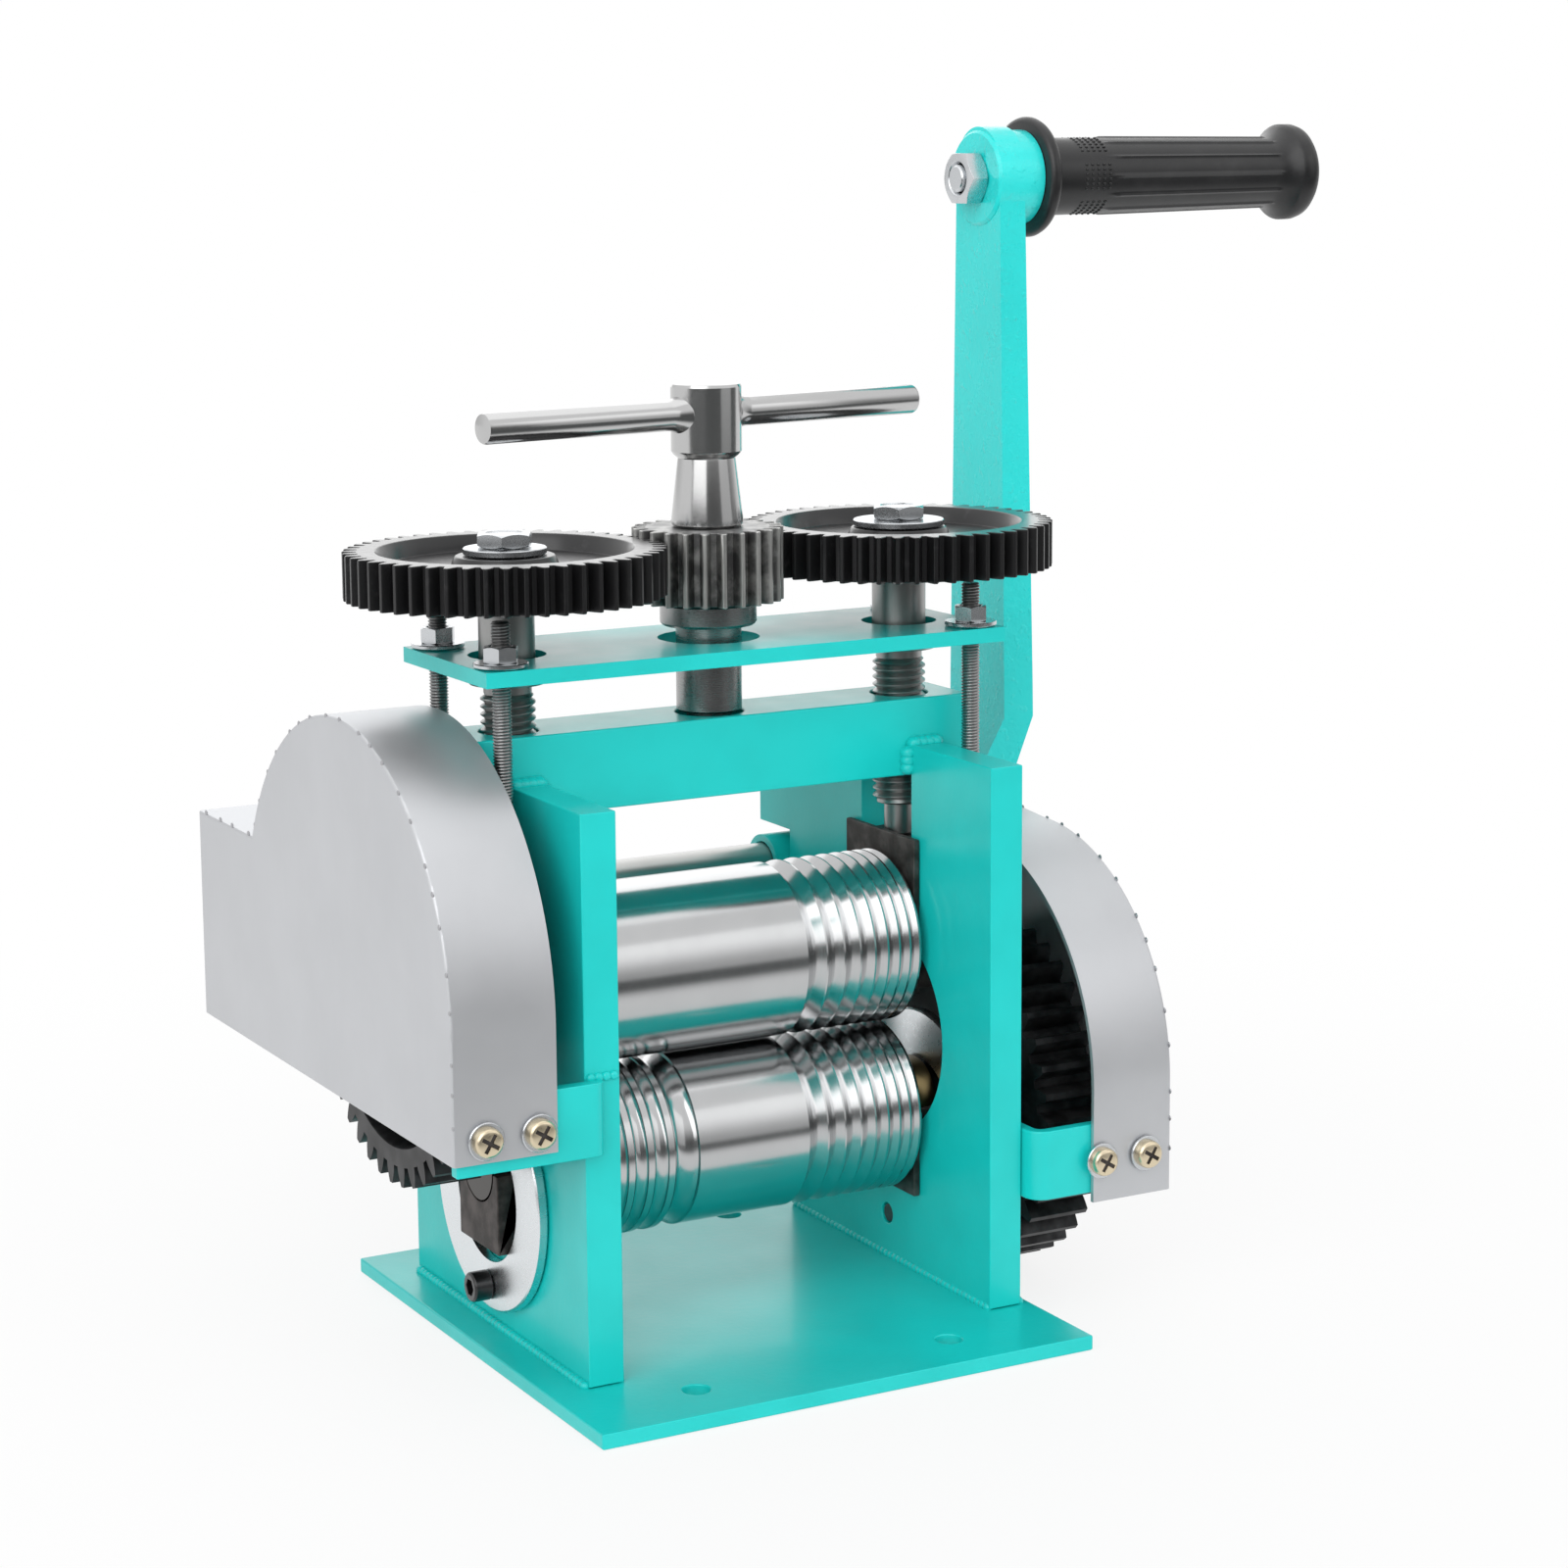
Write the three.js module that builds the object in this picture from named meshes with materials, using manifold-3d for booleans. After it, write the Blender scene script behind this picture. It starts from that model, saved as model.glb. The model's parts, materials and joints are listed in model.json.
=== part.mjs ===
// Hand-cranked jewellers rolling mill with flat, square-wire and half-round rolls.
// Millimetres, +Z up. The origin is on the underside of the base, under the roll axes and
// mid-way between the two side plates. The operator faces +Y, and the crank is on the +X side.

import * as THREE from 'three';
import { mergeVertices } from 'three/addons/utils/BufferGeometryUtils.js';
import Module from 'manifold-3d';

const wasm = await Module();
wasm.setup();

// Clearance between pieces that touch
const fit = 0.3;
// How far a cutting tool reaches past the face that it cuts through
const past = 1;

// Base plate
const baseWidth = 139.2;
const baseShift = -3.6;
const baseThick = 3.9;
const baseFrontMargin = 28.7;
const baseBackMargin = 16.1;
const baseHoleDiameter = 7;
const baseHoleInset = 16;
const baseHoleSpan = 72.4;

// Side plates
const plateGap = 106.2;
const plateThick = 9.5;
const plateFront = 52.2;
const plateTop = 147.4;
const slotWidth = 25.6;
const slotFloor = 25.3;
const portRadius = 28.3;
const portHeight = 68.6;

// Cross beam
const beamDepth = 22.8;
const beamHeight = 20.4;
const beamBite = 8.3;
const beamOverhang = 9.4;

// Rolls
const rollDiameter = 46;
const rollGap = 0.5;
const lowerAxis = 47.8;
const journalRadius = 8.8;
const gearSeatRadius = 7.4;
const squareGrooves = [2.2, 2.5, 2.8, 3.2, 3.7, 4.1, 4.5, 5.2];
const roundGrooves = [2.9, 3.2, 3.5, 3.9, 4.2, 7.2];
const grooveLand = 0.7;
const roundGrooveLand = 1.7;
const grooveMargin = 1.2;
const roundGrooveDepth = 0.24;
const roundGrooveSlope = 0.3;

// Bearing blocks and bushes
const flangeThick = 1.9;
const flangeWidth = 35.5;
const bushWall = 2.1;
const blockProud = 5.6;
const blockNeckInset = 0.7;
const upperBlockTop = 26.7;
const upperFlangeLip = 1.9;
const upperBlockDrop = 13.2;
const yokeThick = 9;
const yokeWidth = 49.2;
const yokeRise = 17.8;
const yokeDrop = 10.2;

// Keeper rings and their screws
const keeperRadius = 31;
const keeperBore = 18.25;
const keeperHeight = 40.5;
const keeperThick = 3;
const keeperScrewRadius = 2.5;
const keeperHeadRadius = 3.9;
const keeperHeadHeight = 5;

// Roll drive: two large gears, two pinions and one idler of one module
const driveModule = 2.25;
const driveTeeth = 40;
const pinionTeeth = 15;
const gearWidth = 18;
const gearStandOff = 11.4;
const dishRadius = 35;
const dishDepth = 3.6;
const hubRadius = 14;
const hubDepth = 5;
const toothPlay = 0.34;
const meshSlack = 0.4;
const idlerSlack = 0.15;
const shaftRise = 7.2;
const shaftRadius = 6.6;
const shaftProud = 2;
const bossWall = 2.1;
const bossInboard = 4;
const bossOutboard = 8;
const weldBite = 0.5;
const earDepth = 17;
const earGap = 2.5;
const lugMargin = 10;
const axleRadius = 6;
const axleHeadRadius = 9;
const axleHeadThick = 3;

// Fasteners on the shaft ends
const boltHeadWidth = 13;
const boltHeadHeight = 5.3;
const boltRadius = 4;
const boltLength = 20;
const washerThick = 1.8;
const washerRadius = 11.5;

// Gear covers
const sheet = 1.2;
const leftCoverNear = 9.8;
const leftCoverFar = 37.1;
const leftDomeRadius = 67.4;
const leftDomeY = 10;
const leftDomeZ = 97.7;
const leftCoverFloor = 67;
const leftTailTop = 124;
const leftTailBack = 113;
const rightCoverNear = 17.6;
const rightCoverFar = 42;
const rightDomeRadius = 60.5;
const rightDomeY = 1;
const rightDomeZ = 60;
const rightCoverFloor = 30.8;
const rightTailTop = 123.5;
const rightTailFront = 38;
const rightTailBack = 86;
const shaftPort = 9;

// Cover brackets and screws
const strip = 3.2;
const leftStripLow = 63.6;
const leftStripHigh = 82;
const rightStripLow = 33;
const rightStripHigh = 51.5;
const stripBend = 5;
const stripLap = 4.2;
const stripFoot = 9.6;
const coverScrewInset = 8.3;
const coverScrewSpacing = 13.9;
const coverScrewRise = 9;
const coverScrewRadius = 2;
const coverHeadRadius = 3.7;
const coverHeadHeight = 2.2;
const coverWasherRadius = 4.7;
const coverWasherThick = 0.9;

// Screw-down: two screws, their gears and the handle spindle
const topModule = 1.5;
const topTeeth = 52;
const centreTeeth = 24;
const topPlay = 0.3;
const topSlack = 0.1;
const topGearWidth = 12;
const topDishRadius = 32;
const topDishDepth = 2.4;
const topHubRadius = 13;
const topHubDrop = 1.6;
const centreGearWidth = 19;
const screwRadius = 7;
const screwPinRadius = 4;
const screwPinLength = 8.6;
const screwNeckRadius = 6.1;
const screwNeckLength = 2.4;
const screwShaftRadius = 7.1;
const screwStubRadius = 5.4;
const collarRadius = 11;
const collarThick = 3;
const topGearFloor = 193.5;
const topBoltRadius = 4;
const topBoltHeadHeight = 3.4;
const leftTopWasherRadius = 10.5;
const rightTopWasherRadius = 12;
const topWasherThick = 1.6;

const spindleRadius = 8.5;
const spindlePinRadius = 6;
const spindlePinLength = 14;
const spindleCollarRadius = 12.5;
const spindleCollarThick = 6;
const centreGearFloor = 188.5;
const spindleStubRadius = 6.5;

// T handle
const socketHeight = 36.5;
const headHeight = 18.2;
const headRadius = 9.1;
const headChamfer = 1;
const neckTopRadius = 7.4;
const neckFootRadius = 9.2;
const neckFootHeight = 2;
const stubHeight = 8;
const barRadius = 3.9;
const barLength = 135;
const barChamfer = 0.8;
const barOffset = 1.2;
const barTurn = 8;
const flareRise = 2;
const flareLength = 8;

// Lifting plate, studs, nuts and washers
const liftEnd = 6.8;
const liftSide = 6.4;
const liftThick = 3.9;
const liftFloor = 174.9;
const liftScrewHole = 9.9;
const liftCentreGap = 0.8;
const studX = 67.5;
const studY = 19.2;
const studRadius = 2.45;
const studBite = 20;
const studProud = 6;
const studNutWidth = 8;
const studNutHeight = 4;
const studWasherRadius = 6.8;
const studWasherThick = 1.1;

// Crank arm and grip
const crankLength = 191.5;
const armSetOff = 120.6;
const armThickTop = 8.2;
const armThickFoot = 9.8;
const armHalfTop = 11.4;
const armHalfFoot = 14.6;
const armFootRise = 48;
const armTopRise = 3;
const armBendTop = 38;
const armBendFoot = 16;
const crankHubRadius = 15;
const crankHubGap = 3.2;
const crankHubThick = 13.5;
const eyeRadius = 13.4;
const eyeInboard = 1;
const eyeLength = 15;
const gripBoltRadius = 4;
const gripNutWidth = 16;
const gripNutHeight = 5.6;
const gripLength = 97;
const gripRadius = 11.2;
const gripEndRadius = 10;
const guardRadius = 17;
const guardThick = 4;
const gripFlangeRadius = 14;
const gripFlangeLength = 6;
const gripRound = 1;
const gripFlareLength = 3;
const gripHeadRadius = 7;
const gripHeadThick = 4;

// Sizes that follow from the ones above
const inner = plateGap / 2;
const outer = inner + plateThick;
const upperAxis = lowerAxis + rollDiameter + rollGap;
const blockFace = inner - fit - flangeThick;
const rollHalf = blockFace - fit;
const blockHalf = slotWidth / 2 - fit;
const bushInner = journalRadius + fit;
const bushOuter = bushInner + bushWall;
const yokeNear = outer + fit;
const yokeFar = yokeNear + yokeThick;
const gearNear = outer + gearStandOff;
const gearFar = gearNear + gearWidth;

const driveSpan = (driveTeeth + pinionTeeth) * driveModule / 2;
const shaftZ = upperAxis + shaftRise;
const shaftY = Math.sqrt((driveSpan + meshSlack) ** 2 - shaftRise ** 2);
const bossRadius = shaftRadius + fit + bossWall;
const plateBack = shaftY - bossRadius + weldBite;
const baseLeft = baseShift - baseWidth / 2;
const baseRight = baseShift + baseWidth / 2;
const baseFront = -plateFront - baseFrontMargin;
const baseBack = plateBack + baseBackMargin;

const beamFloor = plateTop - beamBite;
const beamTop = beamFloor + beamHeight;
const beamHalf = outer + beamOverhang;

const liftLength = 2 * (studX + liftEnd);
const liftDepth = 2 * (studY + liftSide);
const topSpan = (topTeeth + centreTeeth) * topModule / 2 + topSlack;
const screwX = topSpan;

// The idler meshes with the right pinion and with the lower roll's gear.
const idlerToGear = driveSpan + idlerSlack;
const idlerToPinion = pinionTeeth * driveModule + idlerSlack;
const drop = shaftZ - lowerAxis;
const reach = Math.hypot(shaftY, drop);
const along = (idlerToGear ** 2 - idlerToPinion ** 2 + reach ** 2) / (2 * reach);
const across = Math.sqrt(idlerToGear ** 2 - along ** 2);
const idlerY = (along * shaftY + across * drop) / reach;
const idlerZ = lowerAxis + (along * drop - across * shaftY) / reach;

// Solids and meshes

function solid(geometry) {
  geometry.deleteAttribute('normal');
  geometry.deleteAttribute('uv');
  const merged = mergeVertices(geometry, 1e-4);
  const vertProperties = new Float32Array(merged.attributes.position.array);
  const triVerts = new Uint32Array(merged.index.array);
  const closed = new wasm.Manifold(new wasm.Mesh({ numProp: 3, vertProperties, triVerts }));
  return closed;
}

function join(...pieces) {
  return pieces.reduce((whole, piece) => whole.add(piece));
}

function cut(body, ...tools) {
  return tools.reduce((rest, tool) => rest.subtract(tool), body);
}

const part = new THREE.Group();

function add(name, body, material) {
  const result = body.getMesh();
  const geometry = new THREE.BufferGeometry();
  const positions = new Float32Array(result.numVert * 3);
  for (let i = 0; i < result.numVert; i += 1) {
    for (let k = 0; k < 3; k += 1) {
      positions[3 * i + k] = result.vertProperties[result.numProp * i + k];
    }
  }
  geometry.setAttribute('position', new THREE.BufferAttribute(positions, 3));
  geometry.setIndex(new THREE.BufferAttribute(new Uint32Array(result.triVerts), 1));
  geometry.computeVertexNormals();
  const mesh = new THREE.Mesh(geometry, material);
  mesh.name = name;
  part.add(mesh);
}

// Round shapes have more sides the larger they are.
function sidesFor(radius) {
  return Math.max(8, 4 * Math.round(Math.sqrt(radius)));
}

// Elementary shapes, each placed by its limits

function block(x0, x1, y0, y1, z0, z1) {
  const geometry = new THREE.BoxGeometry(x1 - x0, y1 - y0, z1 - z0);
  geometry.translate((x0 + x1) / 2, (y0 + y1) / 2, (z0 + z1) / 2);
  return solid(geometry);
}

function rodX(radius, x0, x1, y, z, sides = sidesFor(radius)) {
  const geometry = new THREE.CylinderGeometry(radius, radius, x1 - x0, sides);
  geometry.rotateZ(-Math.PI / 2);
  geometry.translate((x0 + x1) / 2, y, z);
  return solid(geometry);
}

function rodY(radius, y0, y1, x, z, sides = sidesFor(radius)) {
  const geometry = new THREE.CylinderGeometry(radius, radius, y1 - y0, sides);
  geometry.translate(x, (y0 + y1) / 2, z);
  return solid(geometry);
}

function rodZ(radius, z0, z1, x, y, sides = sidesFor(radius)) {
  const geometry = new THREE.CylinderGeometry(radius, radius, z1 - z0, sides);
  geometry.rotateX(Math.PI / 2);
  geometry.translate(x, y, (z0 + z1) / 2);
  return solid(geometry);
}

// A hole with clearance all round a shaft of this radius, whatever the number of its sides
function holeSize(radius) {
  const sides = sidesFor(radius);
  return [(radius + fit) / Math.cos(Math.PI / sides), sides];
}

function holeX(radius, x0, x1, y, z) {
  const [size, sides] = holeSize(radius);
  return rodX(size, x0, x1, y, z, sides);
}

function holeY(radius, y0, y1, x, z) {
  const [size, sides] = holeSize(radius);
  return rodY(size, y0, y1, x, z, sides);
}

function holeZ(radius, z0, z1, x, y) {
  const [size, sides] = holeSize(radius);
  return rodZ(size, z0, z1, x, y, sides);
}

// A flat outline in Y and Z, made x0 to x1 thick
function slabX(shape, x0, x1, curveSegments = 16) {
  const settings = { depth: x1 - x0, bevelEnabled: false, curveSegments };
  const geometry = new THREE.ExtrudeGeometry(shape, settings);
  geometry.rotateX(Math.PI / 2);
  geometry.rotateZ(Math.PI / 2);
  geometry.translate(x0, 0, 0);
  return solid(geometry);
}

// A flat outline in X and Z, made y0 to y1 thick
function slabY(shape, y0, y1, curveSegments = 8) {
  const settings = { depth: y1 - y0, bevelEnabled: false, curveSegments };
  const geometry = new THREE.ExtrudeGeometry(shape, settings);
  geometry.rotateX(Math.PI / 2);
  geometry.translate(0, y1, 0);
  return solid(geometry);
}

// A flat outline in X and Y, made z0 to z1 thick
function slabZ(shape, z0, z1, curveSegments = 8) {
  const settings = { depth: z1 - z0, bevelEnabled: false, curveSegments };
  const geometry = new THREE.ExtrudeGeometry(shape, settings);
  geometry.translate(0, 0, z0);
  return solid(geometry);
}

// A turned shape about a line along X, from [radius, x] pairs in the order of growing x
function turnedX(profile, y, z) {
  const sides = sidesFor(Math.max(...profile.map(([radius]) => radius)));
  const points = profile.map(([radius, x]) => new THREE.Vector2(radius, x));
  const geometry = new THREE.LatheGeometry(points, sides);
  geometry.rotateZ(-Math.PI / 2);
  geometry.translate(0, y, z);
  return solid(geometry);
}

// A turned shape about a line along Z, from [radius, z] pairs in the order of growing z
function turnedZ(profile, x, y) {
  const sides = sidesFor(Math.max(...profile.map(([radius]) => radius)));
  const points = profile.map(([radius, z]) => new THREE.Vector2(radius, z));
  const geometry = new THREE.LatheGeometry(points, sides);
  geometry.rotateX(Math.PI / 2);
  geometry.translate(x, y, 0);
  return solid(geometry);
}

// The left half of the mill mirrors the right one: side is 1 on the right and -1 on the left.
function limits(side, near, far) {
  return side > 0 ? [near, far] : [-far, -near];
}

// Gears

const pressureAngle = 20 * Math.PI / 180;
const involute = (angle) => Math.tan(angle) - angle;

function toothHalfAngle(radius, pitchRadius, teeth, play) {
  const baseRadius = pitchRadius * Math.cos(pressureAngle);
  const atPitch = Math.PI / (2 * teeth) - play / (4 * pitchRadius);
  const angle = Math.acos(Math.min(1, baseRadius / Math.max(radius, baseRadius)));
  return atPitch + involute(pressureAngle) - involute(angle);
}

// One tooth points along the angle phase; flankPoints is 2 for straight flanks and 3 for curved ones.
function gearShape(teeth, gearModule, phase, play, boreRadius, flankPoints) {
  const pitchRadius = teeth * gearModule / 2;
  const root = pitchRadius - 1.25 * gearModule;
  const tip = pitchRadius + gearModule;
  const radii = flankPoints === 3 ? [root, pitchRadius, tip] : [root, tip];
  const shape = new THREE.Shape();
  const corners = [];
  for (let tooth = 0; tooth < teeth; tooth += 1) {
    const middle = phase + tooth * 2 * Math.PI / teeth;
    const halves = radii.map((radius) => toothHalfAngle(radius, pitchRadius, teeth, play));
    const rising = radii.map((radius, index) => [radius, middle - halves[index]]);
    const falling = radii.map((radius, index) => [radius, middle + halves[index]]);
    corners.push(...rising, ...falling.reverse());
  }
  corners.forEach(([radius, angle], index) => {
    const x = radius * Math.cos(angle);
    const y = radius * Math.sin(angle);
    if (index === 0) {
      shape.moveTo(x, y);
    } else {
      shape.lineTo(x, y);
    }
  });
  shape.closePath();
  shape.holes.push(new THREE.Path().absarc(0, 0, boreRadius, 0, 2 * Math.PI, true));
  return shape;
}

// The phase of a gear that meshes with a neighbour whose tooth points along neighbourPhase
function meshPhase(direction, neighbourTeeth, neighbourPhase, teeth) {
  const turned = (direction - neighbourPhase) * neighbourTeeth / teeth;
  return direction + Math.PI + Math.PI / teeth + turned;
}

// Finishes

function finish(color, roughness, metalness) {
  return new THREE.MeshStandardMaterial({ color, roughness, metalness });
}

const paint = finish(0x2ec4be, 0.35, 0);
const polishedSteel = finish(0xc9ccce, 0.16, 1);
const bareSteel = finish(0x9a9b9a, 0.35, 1);
const chrome = finish(0xd8d8d8, 0.1, 1);
const blackOxide = finish(0x1b1b1c, 0.4, 0.6);
const zinc = finish(0xbfc2c4, 0.3, 1);
const yellowZinc = finish(0xcbb26a, 0.35, 1);
const coverSteel = finish(0xaeb1b3, 0.42, 0.8);
const darkIron = finish(0x35302f, 0.6, 0.6);
const bronze = finish(0x7d6436, 0.4, 0.9);
const rubber = finish(0x161616, 0.7, 0);

// Base plate

function basePlate() {
  const holes = [];
  for (const side of [-1, 1]) {
    for (const y of [baseFront + baseHoleInset, baseBack - baseHoleInset]) {
      const x = baseShift + side * baseHoleSpan / 2;
      holes.push(rodZ(baseHoleDiameter / 2, -past, baseThick + past, x, y));
    }
  }
  return cut(block(baseLeft, baseRight, baseFront, baseBack, 0, baseThick), ...holes);
}
add('base_plate', basePlate(), paint);

// Side plates: a slot open at the top for the bearing blocks, and a round port between the rolls.
// Each has a bearing tube for the countershaft and an ear above it, welded to its back edge.

const keeperScrewZ = keeperHeight - (keeperRadius + keeperBore) / 2;

function sidePlate(side, ...welded) {
  const [x0, x1] = limits(side, inner, outer);
  const [t0, t1] = limits(side, inner - bossInboard, outer + bossOutboard);
  const plate = block(x0, x1, -plateFront, plateBack, baseThick + fit, plateTop);
  const ear = block(x0, x1, plateBack - fit, plateBack + earDepth, shaftZ + bossRadius + earGap, plateTop);
  const tube = rodX(bossRadius, t0, t1, shaftY, shaftZ);
  const slot = block(x0 - past, x1 + past, -slotWidth / 2, slotWidth / 2, slotFloor, plateTop + past);
  const port = rodX(portRadius, x0 - past, x1 + past, 0, portHeight);
  const screwHole = holeX(keeperScrewRadius, x0 - past, x1 + past, 0, keeperScrewZ);
  const shaftHole = holeX(shaftRadius, t0 - past, t1 + past, shaftY, shaftZ);
  return cut(join(plate, ear, tube, ...welded), slot, port, screwHole, shaftHole);
}

// The lug that carries the idler's axle, below the right bearing tube
function axleLug() {
  return block(inner, outer, plateBack - fit, idlerY + lugMargin, idlerZ - lugMargin, idlerZ + lugMargin);
}
const axleHole = holeX(axleRadius, inner - past, outer + past, idlerY, idlerZ);
add('left_side_plate', sidePlate(-1), paint);
add('right_side_plate', cut(sidePlate(1, axleLug()), axleHole), paint);

// Cross beam, held in the two slots; the screws go through it and the spindle turns in a blind hole

function crossBeam() {
  const half = beamDepth / 2;
  const beam = block(-beamHalf, beamHalf, -half, half, beamFloor, beamTop);
  const left = holeZ(screwRadius, beamFloor - past, beamTop + past, -screwX, 0);
  const right = holeZ(screwRadius, beamFloor - past, beamTop + past, screwX, 0);
  const blind = holeZ(spindlePinRadius, beamTop - spindlePinLength - fit, beamTop + past, 0, 0);
  return cut(beam, left, right, blind);
}
add('cross_beam', crossBeam(), paint);

// Keeper rings on the outer faces of the plates, each with one socket-head screw

function keeperRing(side) {
  const [x0, x1] = limits(side, outer + fit, outer + fit + keeperThick);
  const disc = rodX(keeperRadius, x0, x1, 0, keeperHeight);
  const bore = holeX(keeperBore - fit, x0 - past, x1 + past, 0, keeperHeight);
  const screwHole = holeX(keeperScrewRadius, x0 - past, x1 + past, 0, keeperScrewZ);
  return cut(disc, bore, screwHole);
}
add('left_keeper_ring', keeperRing(-1), zinc);
add('right_keeper_ring', keeperRing(1), zinc);

function keeperScrew(side) {
  const face = outer + 2 * fit + keeperThick;
  const [s0, s1] = limits(side, inner + fit, face + past);
  const [h0, h1] = limits(side, face, face + keeperHeadHeight);
  const [k0, k1] = limits(side, face + keeperHeadHeight / 2, face + keeperHeadHeight + past);
  const shank = rodX(keeperScrewRadius, s0, s1, 0, keeperScrewZ);
  const head = rodX(keeperHeadRadius, h0, h1, 0, keeperScrewZ);
  const socket = rodX(keeperHeadRadius / 2, k0, k1, 0, keeperScrewZ, 6);
  return cut(join(head, shank), socket);
}
add('left_keeper_screw', keeperScrew(-1), blackOxide);
add('right_keeper_screw', keeperScrew(1), blackOxide);

// Lower bearing blocks: saddles in the slots, with a flange inside and a neck through the ring

function lowerBlock(side) {
  const floor = slotFloor + fit;
  const [f0, f1] = limits(side, blockFace, inner - fit);
  const [b0, b1] = limits(side, blockFace, outer);
  const [n0, n1] = limits(side, inner, outer + blockProud);
  const neckHalf = blockHalf - blockNeckInset;
  const flange = block(f0, f1, -flangeWidth / 2, flangeWidth / 2, floor, lowerAxis);
  const body = block(b0, b1, -blockHalf, blockHalf, floor, lowerAxis);
  const neckFloor = keeperHeight - Math.sqrt((keeperBore - fit) ** 2 - neckHalf ** 2);
  const neck = block(n0, n1, -neckHalf, neckHalf, neckFloor, lowerAxis);
  const [s0, s1] = limits(side, blockFace - past, outer - fit);
  const [t0, t1] = limits(side, blockFace, outer + blockProud + past);
  const seat = holeX(bushOuter, s0, s1, 0, lowerAxis);
  const passage = holeX(journalRadius, t0, t1, 0, lowerAxis);
  return cut(join(flange, body, neck), seat, passage);
}
add('lower_left_block', lowerBlock(-1), darkIron);
add('lower_right_block', lowerBlock(1), darkIron);

// Bushes round the roll journals

function rollBush(side, axis) {
  const [x0, x1] = limits(side, blockFace, outer - 2 * fit);
  const ring = rodX(bushOuter, x0, x1, 0, axis);
  return cut(ring, holeX(journalRadius, x0 - past, x1 + past, 0, axis));
}
add('lower_left_bush', rollBush(-1, lowerAxis), bronze);
add('lower_right_bush', rollBush(1, lowerAxis), bronze);

// Upper bearing blocks: they slide in the slots and end outside in a yoke that holds two studs

function upperBlock(side) {
  const top = upperAxis + upperBlockTop;
  const [f0, f1] = limits(side, blockFace, inner - fit);
  const [b0, b1] = limits(side, blockFace, yokeFar);
  const [y0, y1] = limits(side, yokeNear, yokeFar);
  const [s0, s1] = limits(side, blockFace - past, outer - fit);
  const [t0, t1] = limits(side, blockFace, yokeFar + past);
  const floor = upperAxis - upperBlockDrop;
  const yokeTop = upperAxis + yokeRise;
  const flange = block(f0, f1, -flangeWidth / 2, flangeWidth / 2, floor, top + upperFlangeLip);
  const body = block(b0, b1, -blockHalf, blockHalf, floor, top);
  const yoke = block(y0, y1, -yokeWidth / 2, yokeWidth / 2, upperAxis - yokeDrop, yokeTop);
  const seat = holeX(bushOuter, s0, s1, 0, upperAxis);
  const passage = holeX(journalRadius, t0, t1, 0, upperAxis);
  const studFloor = yokeTop - studBite - fit;
  const stud = (y) => holeZ(studRadius, studFloor, yokeTop + past, side * studX, y);
  return cut(join(flange, body, yoke), seat, passage, stud(-studY), stud(studY));
}
add('upper_left_block', upperBlock(-1), darkIron);
add('upper_right_block', upperBlock(1), darkIron);
add('upper_left_bush', rollBush(-1, upperAxis), bronze);
add('upper_right_bush', rollBush(1, upperAxis), bronze);

// Rolls: square-wire grooves at the right of both, half-round grooves at the left of the lower one

function squareGrooveProfile() {
  const radius = rollDiameter / 2;
  const points = [];
  let x = rollHalf - grooveMargin;
  for (const width of squareGrooves) {
    const depth = width / 2;
    points.unshift([radius, x - width], [radius - depth, x - depth], [radius, x]);
    x -= width + grooveLand;
  }
  return points;
}

function roundGrooveProfile() {
  const radius = rollDiameter / 2;
  const points = [];
  let x = -rollHalf + grooveMargin;
  for (const width of roundGrooves) {
    const depth = width * roundGrooveDepth;
    const slope = width * roundGrooveSlope;
    points.push([radius, x], [radius - depth, x + slope]);
    points.push([radius - depth, x + width - slope], [radius, x + width]);
    x += width + roundGrooveLand;
  }
  return points;
}

function roll(axis, drivenSide, grooves) {
  const radius = rollDiameter / 2;
  const boltEnd = gearFar - dishDepth;
  const driven = [
    [journalRadius, rollHalf], [journalRadius, gearNear - fit], [gearSeatRadius, gearNear - fit],
    [gearSeatRadius, boltEnd], [0, boltEnd],
  ];
  const plainEnd = drivenSide > 0 ? outer + blockProud : yokeFar;
  const plain = [[journalRadius, rollHalf], [journalRadius, plainEnd], [0, plainEnd]];
  const mirror = (points) => points.map(([r, x]) => [r, -x]).reverse();
  const left = mirror(drivenSide < 0 ? driven : plain);
  const right = drivenSide > 0 ? driven : plain;
  const barrel = [[radius, -rollHalf], ...grooves, [radius, rollHalf]];
  const turned = turnedX([...left, ...barrel, ...right], 0, axis);
  const [h0, h1] = limits(drivenSide, boltEnd - boltLength, boltEnd + past);
  return cut(turned, holeX(boltRadius, h0, h1, 0, axis));
}
add('upper_roll', roll(upperAxis, -1, squareGrooveProfile()), polishedSteel);
add('lower_roll', roll(lowerAxis, 1, [...roundGrooveProfile(), ...squareGrooveProfile()]), polishedSteel);

// Drive gears in mesh at rest: pinions on the countershaft, large gears on the rolls, one idler

const pinionPhase = 0;
const toUpper = Math.atan2(upperAxis - shaftZ, -shaftY);
const toIdler = Math.atan2(idlerZ - shaftZ, idlerY - shaftY);
const idlerToLower = Math.atan2(lowerAxis - idlerZ, -idlerY);
const upperPhase = meshPhase(toUpper, pinionTeeth, pinionPhase, driveTeeth);
const idlerPhase = meshPhase(toIdler, pinionTeeth, pinionPhase, pinionTeeth);
const lowerPhase = meshPhase(idlerToLower, pinionTeeth, idlerPhase, driveTeeth);

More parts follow.
